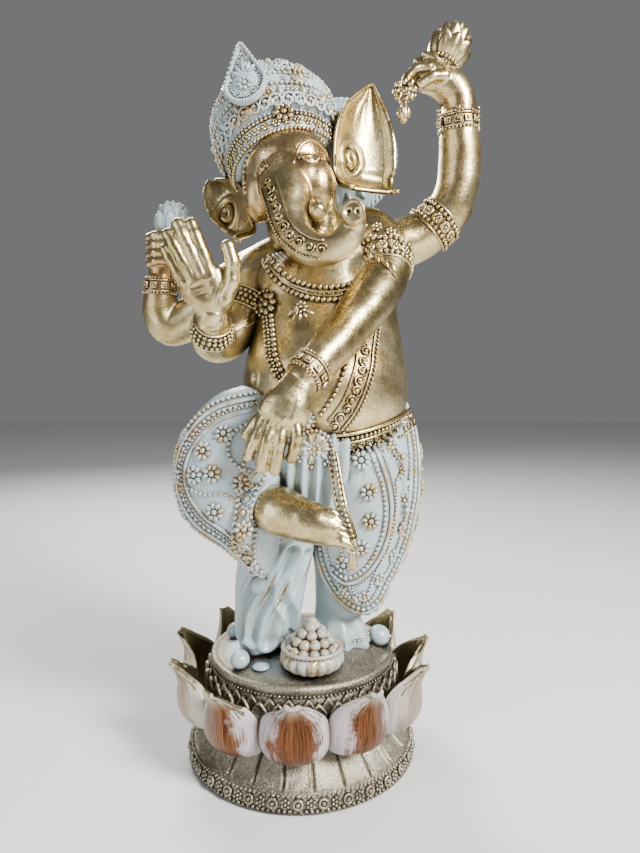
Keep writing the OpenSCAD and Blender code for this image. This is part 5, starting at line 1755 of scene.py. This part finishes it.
def make_back_relief():
    """Two rows of beads across the back, with a flower and a run of scrolls down the spine."""
    stamps = Stamps()
    torso = skins["torso"]
    for drop in (0, 3.2):
        line = [torso.back(x, z - drop) for x, z in
                curve_through([(-9, 172), (-2, 166), (8, 163.4), (17, 166), (22, 171)], 8)]
        stamps.row(bead, spaced(line, 1.8), 0.85, 0.35)
    line = [torso.back(x, z) for x,
            z in curve_through([(8, 160), (8.4, 150), (9, 138), (9, 126), (9, 118)], 8)]
    stamps.row(curl, spaced(line, 3.4), (1.7, 1.7, 1.6), 0.3, 0.4)
    p, n = torso.back(8, 161.6)
    stamps.press(flower, p, n, ACROSS, (4, 4, 3.4), 0.4)
    finish_piece("back_necklace_cord", stamps.bm, jewel_gold)


def make_all():
    make_plinth()
    make_drum()
    for number in range(1, PETAL_COUNT + 1):
        make_petal(number)
    for make in (make_bowl, make_loose_sweets, make_standing_leg, make_centre_drape, make_hip_drape,
                 make_knee_drape, make_front_pleats, make_torso, make_arms, make_front_right_hand,
                 make_front_left_hand, make_rear_right_hand, make_rear_left_hand, make_raised_foot,
                 make_head, make_ears, make_crown, make_plaque, make_halo):
        make()
    make_bud("rear_right_bud", (-45, 8, 182.8), math.radians(8), 6.4, white, 8)
    make_bud("rear_left_bud", (49.2, -0.2, 237.4), math.radians(24), 7.0, gold, 9)
    for make in (make_bands, make_belt, make_medallion, make_sash, make_necklaces, make_pendant,
                 make_garland, make_prayer_beads, make_hip_ornaments, make_knee_ornaments,
                 make_trunk_relief, make_shoulder_relief, make_back_relief):
        make()


make_all()

for node, finish in (("felt_pad", felt), ("leg_rod", steel), ("rear_left_dowel", steel),
                     ("rear_right_dowel", steel)):
    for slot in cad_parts[node].material_slots:
        slot.material = finish


# ---------------------------------------------------------------- stage, camera and lights

STAGE_COLOUR = (0.80, 0.79, 0.77)

floor_shape = bmesh.new()
bmesh.ops.create_grid(floor_shape, x_segments=1, y_segments=1, size=1.5,
                      matrix=Matrix.Translation((0, 0.6, 0)))
floor_mesh = bpy.data.meshes.new("floor")
floor_shape.to_mesh(floor_mesh)
floor_shape.free()
floor_mesh.materials.append(new_finish("stage_paper", STAGE_COLOUR, 0.8)[0])
floor = bpy.data.objects.new("floor", floor_mesh)
bpy.context.scene.collection.objects.link(floor)

camera = bpy.data.cameras.new("camera")
camera.lens = 26.0
camera.sensor_width = 36.0
camera_at = bpy.data.objects.new("camera", camera)
camera_at.location = (0.0064, -0.2116, 0.125)
camera_at.rotation_euler = (math.radians(86.5), 0, 0)
bpy.context.scene.collection.objects.link(camera_at)
bpy.context.scene.camera = camera_at


def soft_light(name, place, aim, watts, size, colour):
    lamp = bpy.data.lights.new(name, "AREA")
    lamp.energy, lamp.size, lamp.color = watts, size, colour
    lamp.shape = "SQUARE"
    obj = bpy.data.objects.new(name, lamp)
    obj.location = place
    obj.rotation_euler = (Vector(aim) - Vector(place)).to_track_quat("-Z", "Y").to_euler()
    bpy.context.scene.collection.objects.link(obj)


BODY = (0, 0, 0.12)
soft_light("key", (0.42, -0.40, 0.46), BODY, 13.0, 0.18, (1.0, 0.97, 0.93))
soft_light("fill", (-0.50, -0.42, 0.22), BODY, 1.8, 0.45, (0.93, 0.96, 1.0))
soft_light("rim", (-0.20, 0.42, 0.50), BODY, 5.0, 0.25, (1.0, 0.98, 0.95))

world = bpy.data.worlds.new("studio")
world.use_nodes = True
world.node_tree.nodes["Background"].inputs["Color"].default_value = (0.88, 0.89, 0.91, 1)
world.node_tree.nodes["Background"].inputs["Strength"].default_value = 0.2
bpy.context.scene.world = world
